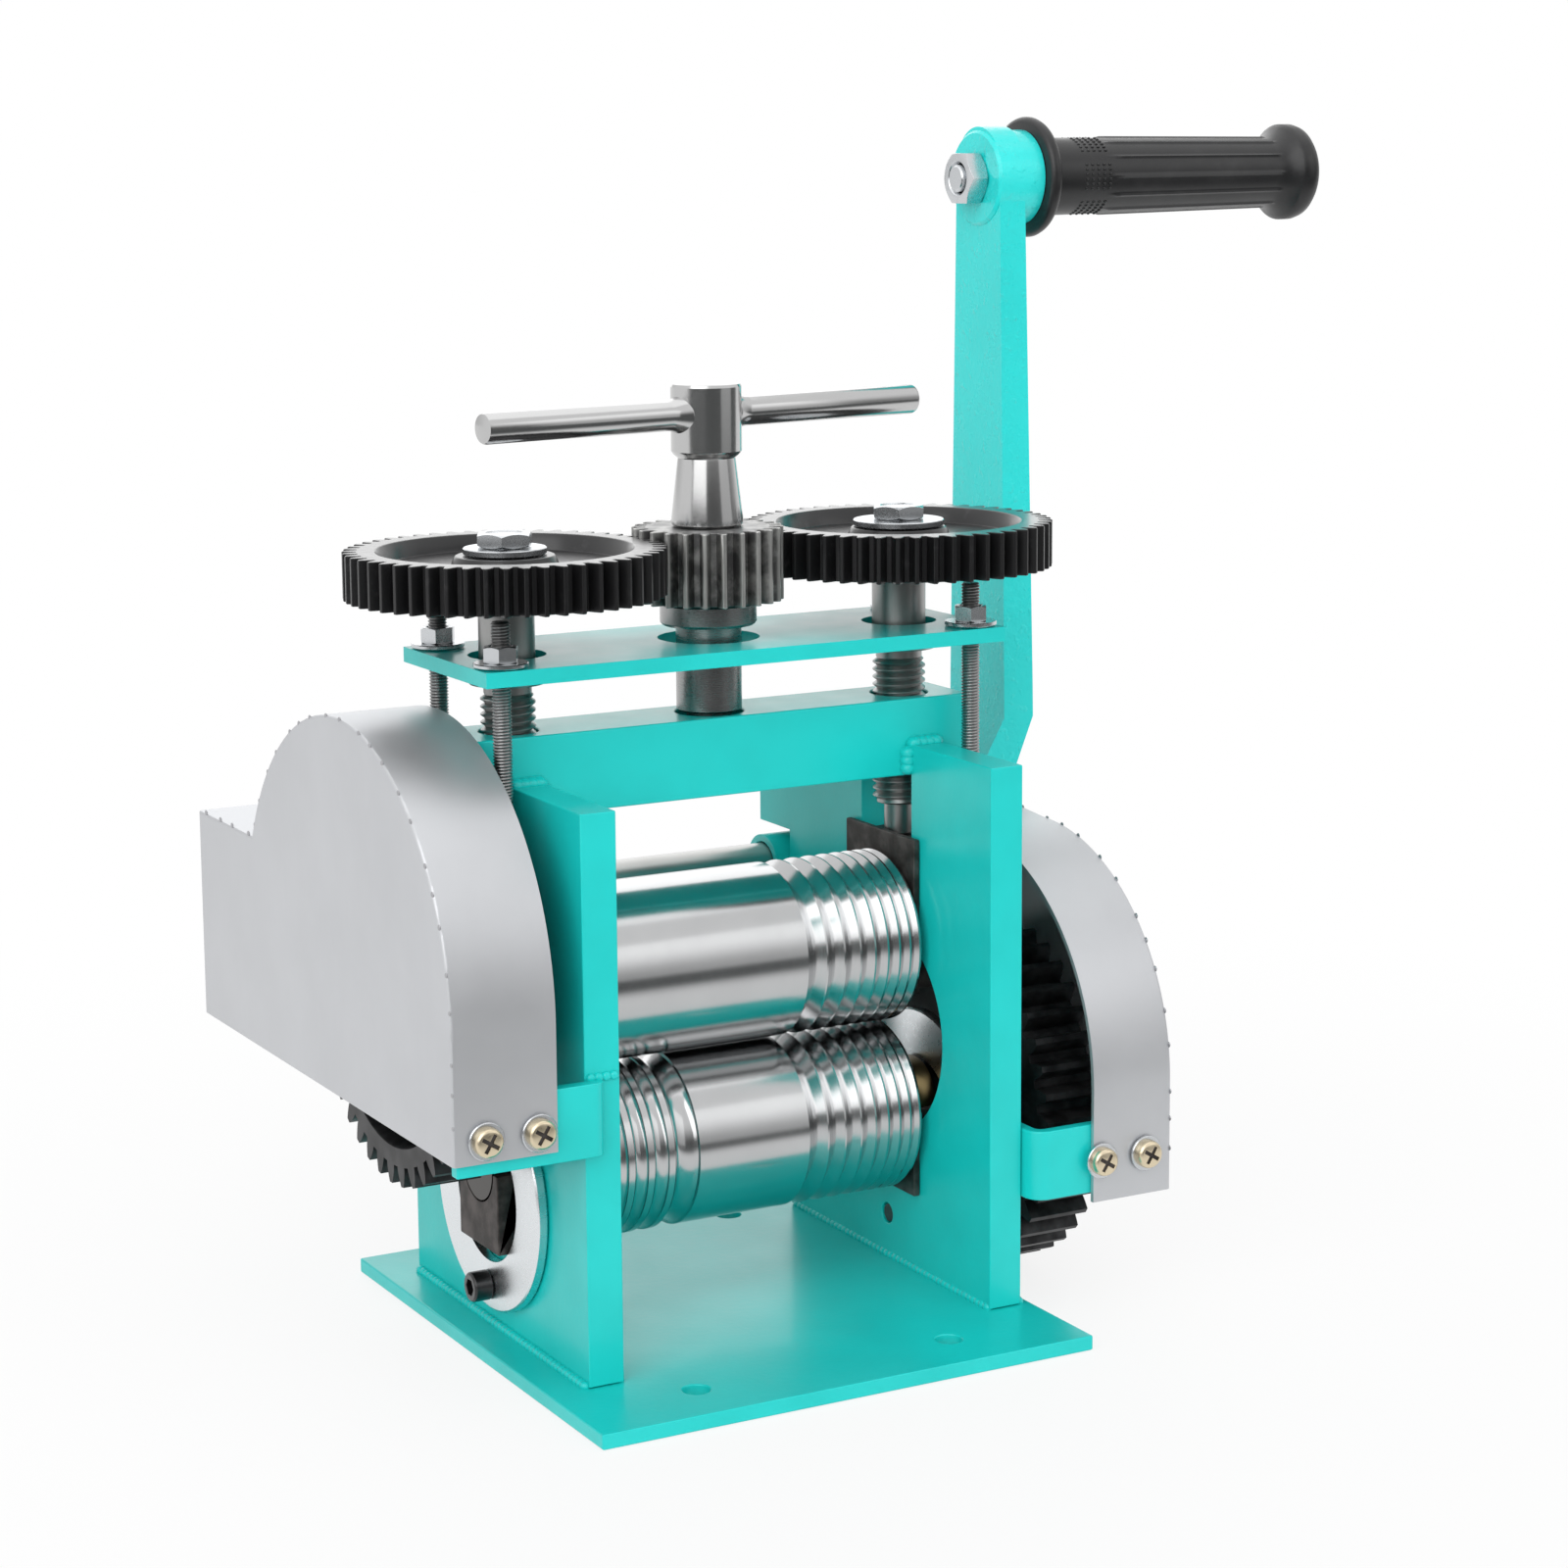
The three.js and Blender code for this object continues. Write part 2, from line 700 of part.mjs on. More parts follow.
function rollGear(side, axis, phase) {
  const [x0, x1] = limits(side, gearNear, gearFar);
  const shape = gearShape(driveTeeth, driveModule, phase, toothPlay, gearSeatRadius + fit, 2);
  const wheel = slabX(shape, x0, x1, 8);
  const [d0, d1] = limits(side, gearFar - dishDepth, gearFar + past);
  const [r0, r1] = limits(side, gearFar - dishDepth - hubDepth, gearFar + past);
  const [p0, p1] = limits(side, gearNear, gearFar);
  const dish = rodX(dishRadius, d0, d1, 0, 0);
  const hollow = cut(rodX(dishRadius, r0, r1, 0, 0), rodX(hubRadius, p0, p1, 0, 0));
  return cut(wheel, dish, hollow).translate([0, 0, axis]);
}
add('left_roll_gear', rollGear(-1, upperAxis, upperPhase), blackOxide);
add('right_roll_gear', rollGear(1, lowerAxis, lowerPhase), blackOxide);

function pinion(side) {
  const [x0, x1] = limits(side, gearNear, gearFar);
  const shape = gearShape(pinionTeeth, driveModule, pinionPhase, toothPlay, shaftRadius + fit, 3);
  return slabX(shape, x0, x1, 8).translate([0, shaftY, shaftZ]);
}
add('left_pinion', pinion(-1), blackOxide);
add('right_pinion', pinion(1), blackOxide);

const idlerShape = gearShape(pinionTeeth, driveModule, idlerPhase, toothPlay, axleRadius + fit, 3);
add('idler_gear', slabX(idlerShape, gearNear, gearFar, 8).translate([0, idlerY, idlerZ]), blackOxide);

// A hexagon bolt in a shaft's end, with a captive washer under its head
function endBolt(side, end, y, z) {
  const face = end + fit;
  const seat = face + washerThick;
  const [w0, w1] = limits(side, face, seat);
  const [h0, h1] = limits(side, seat, seat + boltHeadHeight);
  const [s0, s1] = limits(side, end - boltLength + past, seat + past);
  const washer = rodX(washerRadius, w0, w1, y, z);
  const head = rodX(boltHeadWidth / Math.sqrt(3), h0, h1, y, z, 6);
  return join(washer, head, rodX(boltRadius, s0, s1, y, z));
}
add('left_gear_bolt', endBolt(-1, gearFar - dishDepth, 0, upperAxis), zinc);
add('right_gear_bolt', endBolt(1, gearFar - dishDepth, 0, lowerAxis), zinc);

// Countershaft and the idler's axle

const hubNear = outer + rightCoverFar + crankHubGap;
const hubFar = hubNear + crankHubThick;

function countershaft() {
  const shaft = rodX(shaftRadius, -gearFar - shaftProud, hubFar, shaftY, shaftZ);
  return cut(shaft, holeX(boltRadius, hubFar - boltLength, hubFar + past, shaftY, shaftZ));
}
add('countershaft', countershaft(), bareSteel);

// The idler turns on a plain axle with a head at its outer end and a shoulder at the lug.
function idlerAxle() {
  const head = gearFar + fit;
  const profile = [
    [0, inner], [axleRadius, inner], [axleRadius, outer + fit], [axleHeadRadius, outer + fit],
    [axleHeadRadius, gearNear - fit], [axleRadius, gearNear - fit], [axleRadius, head],
    [axleHeadRadius, head], [axleHeadRadius, head + axleHeadThick], [0, head + axleHeadThick],
  ];
  return turnedX(profile, idlerY, idlerZ);
}
add('idler_axle', idlerAxle(), bareSteel);

// Gear covers: bent sheet with a domed front, a tail over the pinion, open towards the plate and below

// wall is the depth below the outer skin, and drop carries the inside past the open bottom.
function leftOutline(wall, drop) {
  const radius = leftDomeRadius - wall;
  const top = leftTailTop - wall;
  const shape = new THREE.Shape();
  shape.moveTo(leftTailBack - wall, leftCoverFloor - drop);
  shape.lineTo(leftTailBack - wall, top);
  shape.absarc(leftDomeY, leftDomeZ, radius, Math.asin((top - leftDomeZ) / radius), Math.PI, false);
  shape.lineTo(leftDomeY - radius, leftCoverFloor - drop);
  shape.closePath();
  return shape;
}

function rightOutline(wall, drop) {
  const radius = rightDomeRadius - wall;
  const shape = new THREE.Shape();
  shape.moveTo(rightTailBack - wall, rightCoverFloor - drop);
  shape.lineTo(rightTailBack - wall, rightTailTop - wall);
  shape.lineTo(rightTailFront, rightTailTop - wall);
  shape.absarc(rightDomeY, rightDomeZ, radius, Math.PI / 2, Math.PI, false);
  shape.lineTo(rightDomeY - radius, rightCoverFloor - drop);
  shape.closePath();
  return shape;
}

function coverScrewHoles(side) {
  const reach = sheet + fit + strip + past;
  return coverScrewSpots(side).map(([x, y, z]) => holeY(coverScrewRadius, y - past, y + reach, x, z));
}

function leftCover() {
  const [x0, x1] = limits(-1, outer + leftCoverNear, outer + leftCoverFar);
  const shell = slabX(leftOutline(0, 0), x0, x1);
  return cut(shell, slabX(leftOutline(sheet, past), x0 + sheet, x1 + past), ...coverScrewHoles(-1));
}

function rightCover() {
  const [x0, x1] = limits(1, outer + rightCoverNear, outer + rightCoverFar);
  const shell = slabX(rightOutline(0, 0), x0, x1);
  const inside = slabX(rightOutline(sheet, past), x0 - past, x1 - sheet);
  const opening = rodX(shaftPort, x1 - sheet - past, x1 + past, shaftY, shaftZ);
  return cut(shell, inside, opening, ...coverScrewHoles(1));
}

// Cover screws go through the front of each cover into its bracket.
function coverScrewSpots(side) {
  const far = side > 0 ? rightCoverFar : leftCoverFar;
  const front = side > 0 ? rightDomeY - rightDomeRadius : leftDomeY - leftDomeRadius;
  const low = side > 0 ? rightStripLow : leftStripLow;
  const outerX = outer + far - coverScrewInset;
  return [0, 1].map((index) => [side * (outerX - index * coverScrewSpacing), front, low + coverScrewRise]);
}
add('left_gear_cover', leftCover(), coverSteel);
add('right_gear_cover', rightCover(), coverSteel);

// A pan-head screw with a captive washer
function coverScrew([x, y, z]) {
  const seat = y - fit - coverWasherThick;
  const washer = rodY(coverWasherRadius, seat, y - fit, x, z);
  const head = rodY(coverHeadRadius, seat - coverHeadHeight, seat, x, z);
  return join(washer, head, rodY(coverScrewRadius, seat - past, y + sheet + fit + strip, x, z));
}

for (const [name, side] of [['left', -1], ['right', 1]]) {
  const [outerSpot, innerSpot] = coverScrewSpots(side);
  add(`${name}_cover_screw_outer`, coverScrew(outerSpot), yellowZinc);
  add(`${name}_cover_screw_inner`, coverScrew(innerSpot), yellowZinc);
}

// Cover brackets: a flat strip on the left, one with a bent foot on the right

function leftBracket() {
  const front = leftDomeY - leftDomeRadius + sheet + fit;
  const back = -plateFront - fit;
  const far = -outer - leftCoverFar + sheet + fit;
  const bar = block(far, -outer + stripLap, front, back, leftStripLow, leftStripHigh);
  return cut(bar, ...coverScrewHoles(-1));
}
add('left_cover_bracket', leftBracket(), paint);

function rightBracket() {
  const front = rightDomeY - rightDomeRadius + sheet + fit;
  const near = outer + fit;
  const far = outer + rightCoverFar - sheet - fit;
  const foot = -plateFront + stripFoot;
  const shape = new THREE.Shape();
  shape.moveTo(near, foot);
  shape.lineTo(near, front + stripBend);
  shape.absarc(near + stripBend, front + stripBend, stripBend, Math.PI, 1.5 * Math.PI, false);
  shape.lineTo(far, front);
  shape.lineTo(far, front + strip);
  shape.lineTo(near + stripBend, front + strip);
  shape.absarc(near + stripBend, front + stripBend, stripBend - strip, 1.5 * Math.PI, Math.PI, true);
  shape.lineTo(near + strip, foot);
  shape.closePath();
  return cut(slabZ(shape, rightStripLow, rightStripHigh, 6), ...coverScrewHoles(1));
}
add('right_cover_bracket', rightBracket(), paint);

// Screw-down screws: a pin on the block, the thread through the beam, a collar under the lifting
// plate and a shaft up to the gear

const pinFoot = upperAxis + upperBlockTop + fit;
const collarTop = liftFloor - fit;
const topGearTop = topGearFloor + topGearWidth;
const topHubTop = topGearTop - topHubDrop;

function downScrew(side) {
  const neckFoot = collarTop - collarThick - screwNeckLength;
  const profile = [
    [0, pinFoot], [screwPinRadius, pinFoot], [screwPinRadius, pinFoot + screwPinLength],
    [screwRadius, pinFoot + screwPinLength], [screwRadius, neckFoot], [screwNeckRadius, neckFoot],
    [screwNeckRadius, collarTop - collarThick], [collarRadius - past, collarTop - collarThick],
    [collarRadius, collarTop - collarThick / 2], [collarRadius, collarTop],
    [screwShaftRadius, collarTop], [screwShaftRadius, topGearFloor - fit],
    [screwStubRadius, topGearFloor - fit], [screwStubRadius, topHubTop], [0, topHubTop],
  ];
  const body = turnedZ(profile, side * screwX, 0);
  return cut(body, holeZ(topBoltRadius, topHubTop - boltLength, topHubTop + past, side * screwX, 0));
}
add('left_screw', downScrew(-1), blackOxide);
add('right_screw', downScrew(1), blackOxide);

const centrePhase = 0;
const leftTopPhase = meshPhase(Math.PI, centreTeeth, centrePhase, topTeeth);
const rightTopPhase = meshPhase(0, centreTeeth, centrePhase, topTeeth);

function topGear(side, phase) {
  const shape = gearShape(topTeeth, topModule, phase, topPlay, screwStubRadius + fit, 2);
  const wheel = slabZ(shape, topGearFloor, topGearTop);
  const hub = rodZ(topHubRadius, topGearFloor, topHubTop, 0, 0);
  const dish = cut(rodZ(topDishRadius, topGearTop - topDishDepth, topGearTop + past, 0, 0), hub);
  return cut(wheel, dish).translate([side * screwX, 0, 0]);
}
add('left_top_gear', topGear(-1, leftTopPhase), blackOxide);
add('right_top_gear', topGear(1, rightTopPhase), blackOxide);

const topWasherFloor = topHubTop + fit;
const topBoltSeat = topWasherFloor + topWasherThick + fit;

function topWasher(side, radius) {
  const washer = rodZ(radius, topWasherFloor, topWasherFloor + topWasherThick, side * screwX, 0);
  return cut(washer, holeZ(topBoltRadius, topWasherFloor - past, topBoltSeat, side * screwX, 0));
}

function topBolt(side) {
  const hexagon = boltHeadWidth / Math.sqrt(3);
  const head = rodZ(hexagon, topBoltSeat, topBoltSeat + topBoltHeadHeight, side * screwX, 0, 6);
  const foot = topHubTop - boltLength + past;
  return join(head, rodZ(topBoltRadius, foot, topBoltSeat + past, side * screwX, 0));
}
add('left_top_washer', topWasher(-1, leftTopWasherRadius), zinc);
add('right_top_washer', topWasher(1, rightTopWasherRadius), zinc);
add('left_top_bolt', topBolt(-1), zinc);
add('right_top_bolt', topBolt(1), zinc);

// Spindle, centre gear and T handle

const centreGearTop = centreGearFloor + centreGearWidth;
const socketFoot = centreGearTop + fit;
const headFloor = socketFoot + socketHeight - headHeight;
const barZ = headFloor + headHeight / 2 + barOffset;

function spindle() {
  const collarFoot = centreGearFloor - fit - spindleCollarThick;
  const stubTop = socketFoot + stubHeight;
  const profile = [
    [0, beamTop - spindlePinLength], [spindlePinRadius, beamTop - spindlePinLength],
    [spindlePinRadius, beamTop + fit], [spindleRadius, beamTop + fit], [spindleRadius, collarFoot],
    [spindleCollarRadius, collarFoot], [spindleCollarRadius, centreGearFloor - fit],
    [spindleStubRadius, centreGearFloor - fit], [spindleStubRadius, stubTop], [0, stubTop],
  ];
  return turnedZ(profile, 0, 0);
}
add('spindle', spindle(), bareSteel);

const centreShape = gearShape(centreTeeth, topModule, centrePhase, topPlay, spindleStubRadius + fit, 3);
add('centre_gear', slabZ(centreShape, centreGearFloor, centreGearTop), bareSteel);

// The handle is one forging: a tapered neck, a round head, and a bar that flares into the head.
function tHandle() {
  const top = headFloor + headHeight;
  const profile = [
    [0, socketFoot], [neckFootRadius, socketFoot], [neckFootRadius, socketFoot + neckFootHeight],
    [neckTopRadius, headFloor - headChamfer], [headRadius, headFloor], [headRadius, top - headChamfer],
    [headRadius - headChamfer, top], [0, top],
  ];
  const half = barLength / 2;
  const wide = barRadius + flareRise;
  const flareEnd = headRadius + flareLength;
  const barProfile = [
    [0, -half], [barRadius - barChamfer, -half], [barRadius, -half + barChamfer], [barRadius, -flareEnd],
    [wide, -headRadius + past], [wide, headRadius - past], [barRadius, flareEnd],
    [barRadius, half - barChamfer], [barRadius - barChamfer, half], [0, half],
  ];
  const bar = turnedX(barProfile, 0, 0).rotate([0, 0, barTurn]).translate([0, 0, barZ]);
  const socket = holeZ(spindleStubRadius, socketFoot - past, socketFoot + stubHeight + fit, 0, 0);
  return cut(join(turnedZ(profile, 0, 0), bar), socket);
}
add('t_handle', tHandle(), chrome);

// Lifting plate on the screw collars, with four studs down to the upper blocks

function liftPlate() {
  const top = liftFloor + liftThick;
  const plate = block(-liftLength / 2, liftLength / 2, -liftDepth / 2, liftDepth / 2, liftFloor, top);
  const tools = [rodZ(spindleCollarRadius + liftCentreGap, liftFloor - past, top + past, 0, 0)];
  for (const x of [-1, 1]) {
    tools.push(rodZ(liftScrewHole, liftFloor - past, top + past, x * screwX, 0));
    for (const y of [-1, 1]) {
      tools.push(holeZ(studRadius, liftFloor - past, top + past, x * studX, y * studY));
    }
  }
  return cut(plate, ...tools);
}
add('lift_plate', liftPlate(), paint);

const studFoot = upperAxis + yokeRise - studBite;
const washerFloor = liftFloor + liftThick + fit;
const nutFloor = washerFloor + studWasherThick;
const studTop = nutFloor + studNutHeight + studProud;

// A hexagon nut with a captive washer
function studNut(x, y) {
  const washer = rodZ(studWasherRadius, washerFloor, nutFloor, x, y);
  const nut = rodZ(studNutWidth / Math.sqrt(3), nutFloor, nutFloor + studNutHeight, x, y, 6);
  const hole = holeZ(studRadius, washerFloor - past, nutFloor + studNutHeight + past, x, y);
  return cut(join(washer, nut), hole);
}

for (const [name, x] of [['left', -studX], ['right', studX]]) {
  for (const [end, y] of [['front', -studY], ['back', studY]]) {
    add(`${name}_${end}_stud`, rodZ(studRadius, studFoot, studTop, x, y), zinc);
    add(`${name}_${end}_stud_nut`, studNut(x, y), zinc);
  }
}

// Crank arm: a cranked side view cut by a tapered front view, with a hub and an eye for the grip

const eyeZ = shaftZ + crankLength;
const eyeFar = armSetOff - eyeInboard + eyeLength;

function crankArm() {
  const bendTop = shaftZ + armBendTop;
  const bendFoot = shaftZ + armBendFoot;
  const crownZ = eyeZ + armTopRise;
  const tall = crownZ + armHalfTop + past;
  const side = new THREE.Shape();
  side.moveTo(armSetOff, tall);
  side.lineTo(armSetOff, bendTop);
  side.lineTo(hubNear, bendFoot);
  side.lineTo(hubNear, shaftZ - crankHubRadius);
  side.lineTo(hubFar, shaftZ - crankHubRadius);
  side.lineTo(hubFar, bendFoot);
  side.lineTo(armSetOff + armThickFoot, bendTop);
  side.lineTo(armSetOff + armThickTop, tall);
  side.closePath();
  const profile = slabY(side, shaftY - crankHubRadius - past, shaftY + crankHubRadius + past);
  const front = new THREE.Shape();
  const footZ = shaftZ + armFootRise;
  front.moveTo(shaftY - armHalfTop, crownZ);
  front.lineTo(shaftY - armHalfFoot, footZ);
  front.lineTo(shaftY - crankHubRadius, shaftZ);
  front.absarc(shaftY, shaftZ, crankHubRadius, Math.PI, 2 * Math.PI, false);
  front.lineTo(shaftY + armHalfFoot, footZ);
  front.lineTo(shaftY + armHalfTop, crownZ);
  front.absarc(shaftY, crownZ, armHalfTop, 0, Math.PI, false);
  front.closePath();
  const outline = slabX(front, hubNear - past, armSetOff + armThickFoot + past, 12);
  const arm = profile.intersect(outline);
  const eye = rodX(eyeRadius, armSetOff - eyeInboard, eyeFar, shaftY, eyeZ);
  const shaftHole = holeX(shaftRadius, hubNear - past, hubFar + past, shaftY, shaftZ);
  const eyeHole = holeX(gripBoltRadius, armSetOff - eyeInboard - past, eyeFar + past, shaftY, eyeZ);
  return cut(join(arm, eye), shaftHole, eyeHole);
}
add('crank_arm', crankArm(), paint);

add('crank_bolt', endBolt(1, hubFar, shaftY, shaftZ), zinc);

// Grip with its bolt and lock nut

const gripNear = eyeFar + fit;
const gripFar = gripNear + gripLength;
const headRoom = gripHeadThick + fit;

function grip() {
  const guardFar = gripNear + guardThick;
  const flangeNear = gripFar - gripFlangeLength;
  const profile = [
    [0, gripNear], [guardRadius - gripRound, gripNear], [guardRadius, gripNear + guardThick / 2],
    [guardRadius - gripRound, guardFar], [gripRadius, guardFar + gripRound],
    [gripEndRadius, flangeNear - gripFlareLength],
    [gripFlangeRadius, flangeNear], [gripFlangeRadius, gripFar], [0, gripFar],
  ];
  const body = turnedX(profile, shaftY, eyeZ);
  const bore = holeX(gripBoltRadius, gripNear - past, gripFar + past, shaftY, eyeZ);
  const pocket = holeX(gripHeadRadius, gripFar - headRoom, gripFar + past, shaftY, eyeZ);
  return cut(body, bore, pocket);
}
add('grip', grip(), rubber);

function gripBolt() {
  const nutNear = armSetOff - eyeInboard - gripNutHeight;
  const shank = rodX(gripBoltRadius, nutNear - past, gripFar - past, shaftY, eyeZ);
  return join(shank, rodX(gripHeadRadius, gripFar - gripHeadThick, gripFar, shaftY, eyeZ));
}
add('grip_bolt', gripBolt(), zinc);

function gripNut() {
  const far = armSetOff - eyeInboard - fit;
  const nut = rodX(gripNutWidth / Math.sqrt(3), far - gripNutHeight, far, shaftY, eyeZ, 6);
  return cut(nut, holeX(gripBoltRadius, far - gripNutHeight - past, far + past, shaftY, eyeZ));
}
add('grip_nut', gripNut(), zinc);

export default part;
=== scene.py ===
# %% [markdown]
# # A jewellers' rolling mill in a plain studio
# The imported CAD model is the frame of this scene. It says where every piece is and which body it
# moves with. This script gives each piece a finer surface and a finish, and then sets the light
# and the camera. All lengths below are in millimetres until a piece is finished in metres.

# %% Load the frame
from itertools import cycle
import json
import math

import bmesh
import bpy
from mathutils import Matrix, Vector


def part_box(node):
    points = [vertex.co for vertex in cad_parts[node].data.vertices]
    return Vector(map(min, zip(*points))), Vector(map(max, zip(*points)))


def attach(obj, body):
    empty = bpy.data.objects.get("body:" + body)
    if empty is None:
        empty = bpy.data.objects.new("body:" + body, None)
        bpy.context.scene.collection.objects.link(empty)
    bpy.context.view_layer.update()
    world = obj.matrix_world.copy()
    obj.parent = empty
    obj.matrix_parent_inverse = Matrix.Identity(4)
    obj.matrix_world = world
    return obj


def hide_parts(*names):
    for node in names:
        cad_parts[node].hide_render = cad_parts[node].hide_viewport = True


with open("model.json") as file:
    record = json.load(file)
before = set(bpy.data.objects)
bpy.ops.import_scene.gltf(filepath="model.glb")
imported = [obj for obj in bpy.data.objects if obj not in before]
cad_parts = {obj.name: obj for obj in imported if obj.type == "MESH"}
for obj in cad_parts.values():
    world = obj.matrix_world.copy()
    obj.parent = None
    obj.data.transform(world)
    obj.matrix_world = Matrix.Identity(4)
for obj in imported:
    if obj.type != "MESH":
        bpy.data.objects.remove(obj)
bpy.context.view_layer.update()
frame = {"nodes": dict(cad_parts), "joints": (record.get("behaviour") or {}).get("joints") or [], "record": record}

# %% [markdown]
# ## What the frame says
# A piece goes where its CAD node is, so sizes are read from the node's box, and gears and rolls
# take their centres from the joints that they turn on. Typing the places again would be shorter,
# but they would go wrong as soon as the CAD model changed.

# %% Places and owners from the frame
MM = 0.001
FULL_TURN = 2 * math.pi
AXES = {"X": Vector((1, 0, 0)), "Y": Vector((0, 1, 0)), "Z": Vector((0, 0, 1))}
RECORD = frame["record"]
BODY_OF = {node: body for body, nodes in RECORD["behaviour"]["bodies"].items() for node in nodes}
SLOT_OF = {row["node"]: row["material_slot"] for row in RECORD["subparts"]}
PIVOT = {j["name"]: Vector(j["pos_m"]) / MM for j in frame["joints"] if "pos_m" in j}


def cad_box(node):
    low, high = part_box(node)
    return low / MM, high / MM


def cad_span(node):
    low, high = cad_box(node)
    return low, high, (low + high) / 2


LOWER_AXIS = PIVOT["lower_roll_turn"]
UPPER_AXIS = PIVOT["upper_roll_turn"]
SHAFT_AXIS = PIVOT["crank_turn"]
IDLER_AXIS = PIVOT["idler_turn"]
GRIP_AXIS = PIVOT["grip_turn"]
print("lower roll axis", LOWER_AXIS, "countershaft axis", SHAFT_AXIS)

# %% [markdown]
# ## Shader arithmetic
# A finish is a small calculation: noise times a strength plus a base value. Wiring Math nodes by
# hand hides that, so a wire is wrapped in a class whose operators add the nodes. Every other node
# comes from one method, which sets the node's settings first and its sockets after that.

# %% Wires


class Wire:
    """One output of a shader node. Arithmetic on it adds Math nodes."""

    def __init__(self, finish, socket):
        self.finish = finish
        self.socket = socket

    def _math(self, operation, first, second):
        return self.finish.node("Math", {"operation": operation}, {0: first, 1: second})

    def __add__(self, other):
        return self._math("ADD", self, other)

    __radd__ = __add__

    def __sub__(self, other):
        return self._math("SUBTRACT", self, other)

    def __rsub__(self, other):
        return self._math("SUBTRACT", other, self)

    def __mul__(self, other):
        return self._math("MULTIPLY", self, other)

    __rmul__ = __mul__

    def __truediv__(self, other):
        return self._math("DIVIDE", self, other)


# %% Finishes, as owners of nodes


class Finish:
    """A material, or the world, with the few moves that its nodes need."""

    def __init__(self, name, owner=None):
        self.owner = owner or bpy.data.materials.new(name)
        self.owner.use_nodes = True
        self.tree = self.owner.node_tree
        if owner is None:
            self.surface = self.tree.nodes["Principled BSDF"]
        print("finish", name)

    def node(self, kind, settings=None, sockets=None, output=0):
        made = self.tree.nodes.new("ShaderNode" + kind)
        for name, value in (settings or {}).items():
            if name == "stops":
                self.stops(made.color_ramp.elements, value)
            else:
                setattr(made, name, value)
        for name, value in (sockets or {}).items():
            self.feed(made.inputs[name], value)
        return Wire(self, made.outputs[output])

    def stops(self, marks, greys):
        """Greys at places from 0 to 1 along a ramp, as (place, grey) pairs in rising order."""
        marks[0].position, marks[1].position = greys[0][0], greys[-1][0]
        for place, _ in greys[1:-1]:
            marks.new(place)
        for mark, (_, grey) in zip(marks, greys):
            mark.color = (grey, grey, grey, 1)

    def apart(self, vector):
        """The x, y and z of a vector, as three wires."""
        node = self.node("SeparateXYZ", {}, {0: vector}).socket.node
        return [Wire(self, node.outputs[i]) for i in range(3)]

    def rays(self, *names):
        """Which kind of ray is looking: 1 on the wire of that name."""
        node = self.node("LightPath").socket.node
        return [Wire(self, node.outputs["Is " + name + " Ray"]) for name in names]

    def feed(self, socket, value):
        if isinstance(value, Wire):
            self.tree.links.new(value.socket, socket)
        else:
            socket.default_value = value

    def set(self, **sockets):
        for name, value in sockets.items():
            self.feed(self.surface.inputs[name.replace("_", " ")], value)

    def place(self, stretch=(1, 1, 1)):
        """Object coordinates in millimetres, stretched where a grain runs one way."""
        where = self.node("TexCoord", output=3)
        scale = tuple(factor / MM for factor in stretch)
        return self.node("Mapping", {}, {"Vector": where, "Scale": scale})

    def noise(self, size, detail=3.0, stretch=(1, 1, 1), roughness=0.55):
        """Soft noise from 0 to 1 whose spots are about size millimetres across."""
        sockets = {"Vector": self.place(stretch), "Scale": 1 / size}
        return self.node("TexNoise", {}, {**sockets, "Detail": detail, "Roughness": roughness})

    def ramp(self, wire, low, high):
        """0 below low, 1 above high, and smooth between."""
        settings = {"interpolation_type": "SMOOTHSTEP"}
        return self.node("MapRange", settings, {"Value": wire, "From Min": low, "From Max": high})

    def mix(self, factor, first, second):
        sockets = {0: factor, 6: (*first, 1) if isinstance(first, tuple) else first}
        sockets[7] = (*second, 1) if isinstance(second, tuple) else second
        return self.node("Mix", {"data_type": "RGBA"}, sockets, output=2)

    def bump(self, height, depth):
        """A surface that rises by depth millimetres where height is 1."""
        sockets = {"Height": height, "Distance": depth * MM, "Strength": 1.0}
        self.set(Normal=self.node("Bump", {}, sockets))


# %% [markdown]
# ## Finishes
# The mill has about ten: a thick glossy paint, ground steel on the rolls, bare and polished steel,
# black oxide on the gears, bright and yellow zinc on the fasteners, satin sheet on the covers, oily
# iron on the bearing blocks, bronze and rubber. Each has the fine marks that its making leaves.
#
# Thick enamel is never quite flat: it dries in small waves, called orange peel. A picture of paint
# could show that, but a noise on the Bump node gives it at the right scale on every face.

# %% Thick turquoise paint with orange peel


def painted(name, colour):
    paint = Finish(name)
    deep = tuple(0.92 * value for value in colour)
    blotches = paint.ramp(paint.noise(26), 0.3, 0.7)
    peel = paint.noise(1.7, 1.5)
    specks = paint.ramp(paint.noise(0.9, 2.0), 0.68, 0.8)
    paint.set(Base_Color=paint.mix(blotches, deep, colour), Metallic=0.0)
    paint.set(Roughness=0.27 + 0.1 * paint.noise(9), Coat_Weight=0.08 + 0.08 * blotches)
    paint.set(Coat_Roughness=0.1, IOR=1.4)
    paint.bump(peel + 0.2 * specks, 0.035)
    return paint.owner


TURQUOISE = (0.01, 0.64, 0.61)
PAINT = painted("turquoise_paint", TURQUOISE)

# %% Cast paint on the crank arm, with a coarser skin, and lighter than the frame's paint as painted light


def painted_casting(name, colour):
    paint = Finish(name)
    deep = tuple(0.85 * value for value in colour)
    paint.set(Base_Color=paint.mix(paint.noise(30), deep, colour), Metallic=0.0)
    paint.set(Roughness=0.22 + 0.12 * paint.noise(7), Coat_Weight=0.25, Coat_Roughness=0.08, IOR=1.45)
    drops = paint.ramp(paint.noise(2.6, 1.0), 0.6, 0.75)
    paint.bump(paint.noise(3.6, 2.5) + 0.5 * drops, 0.26)
    return paint.owner
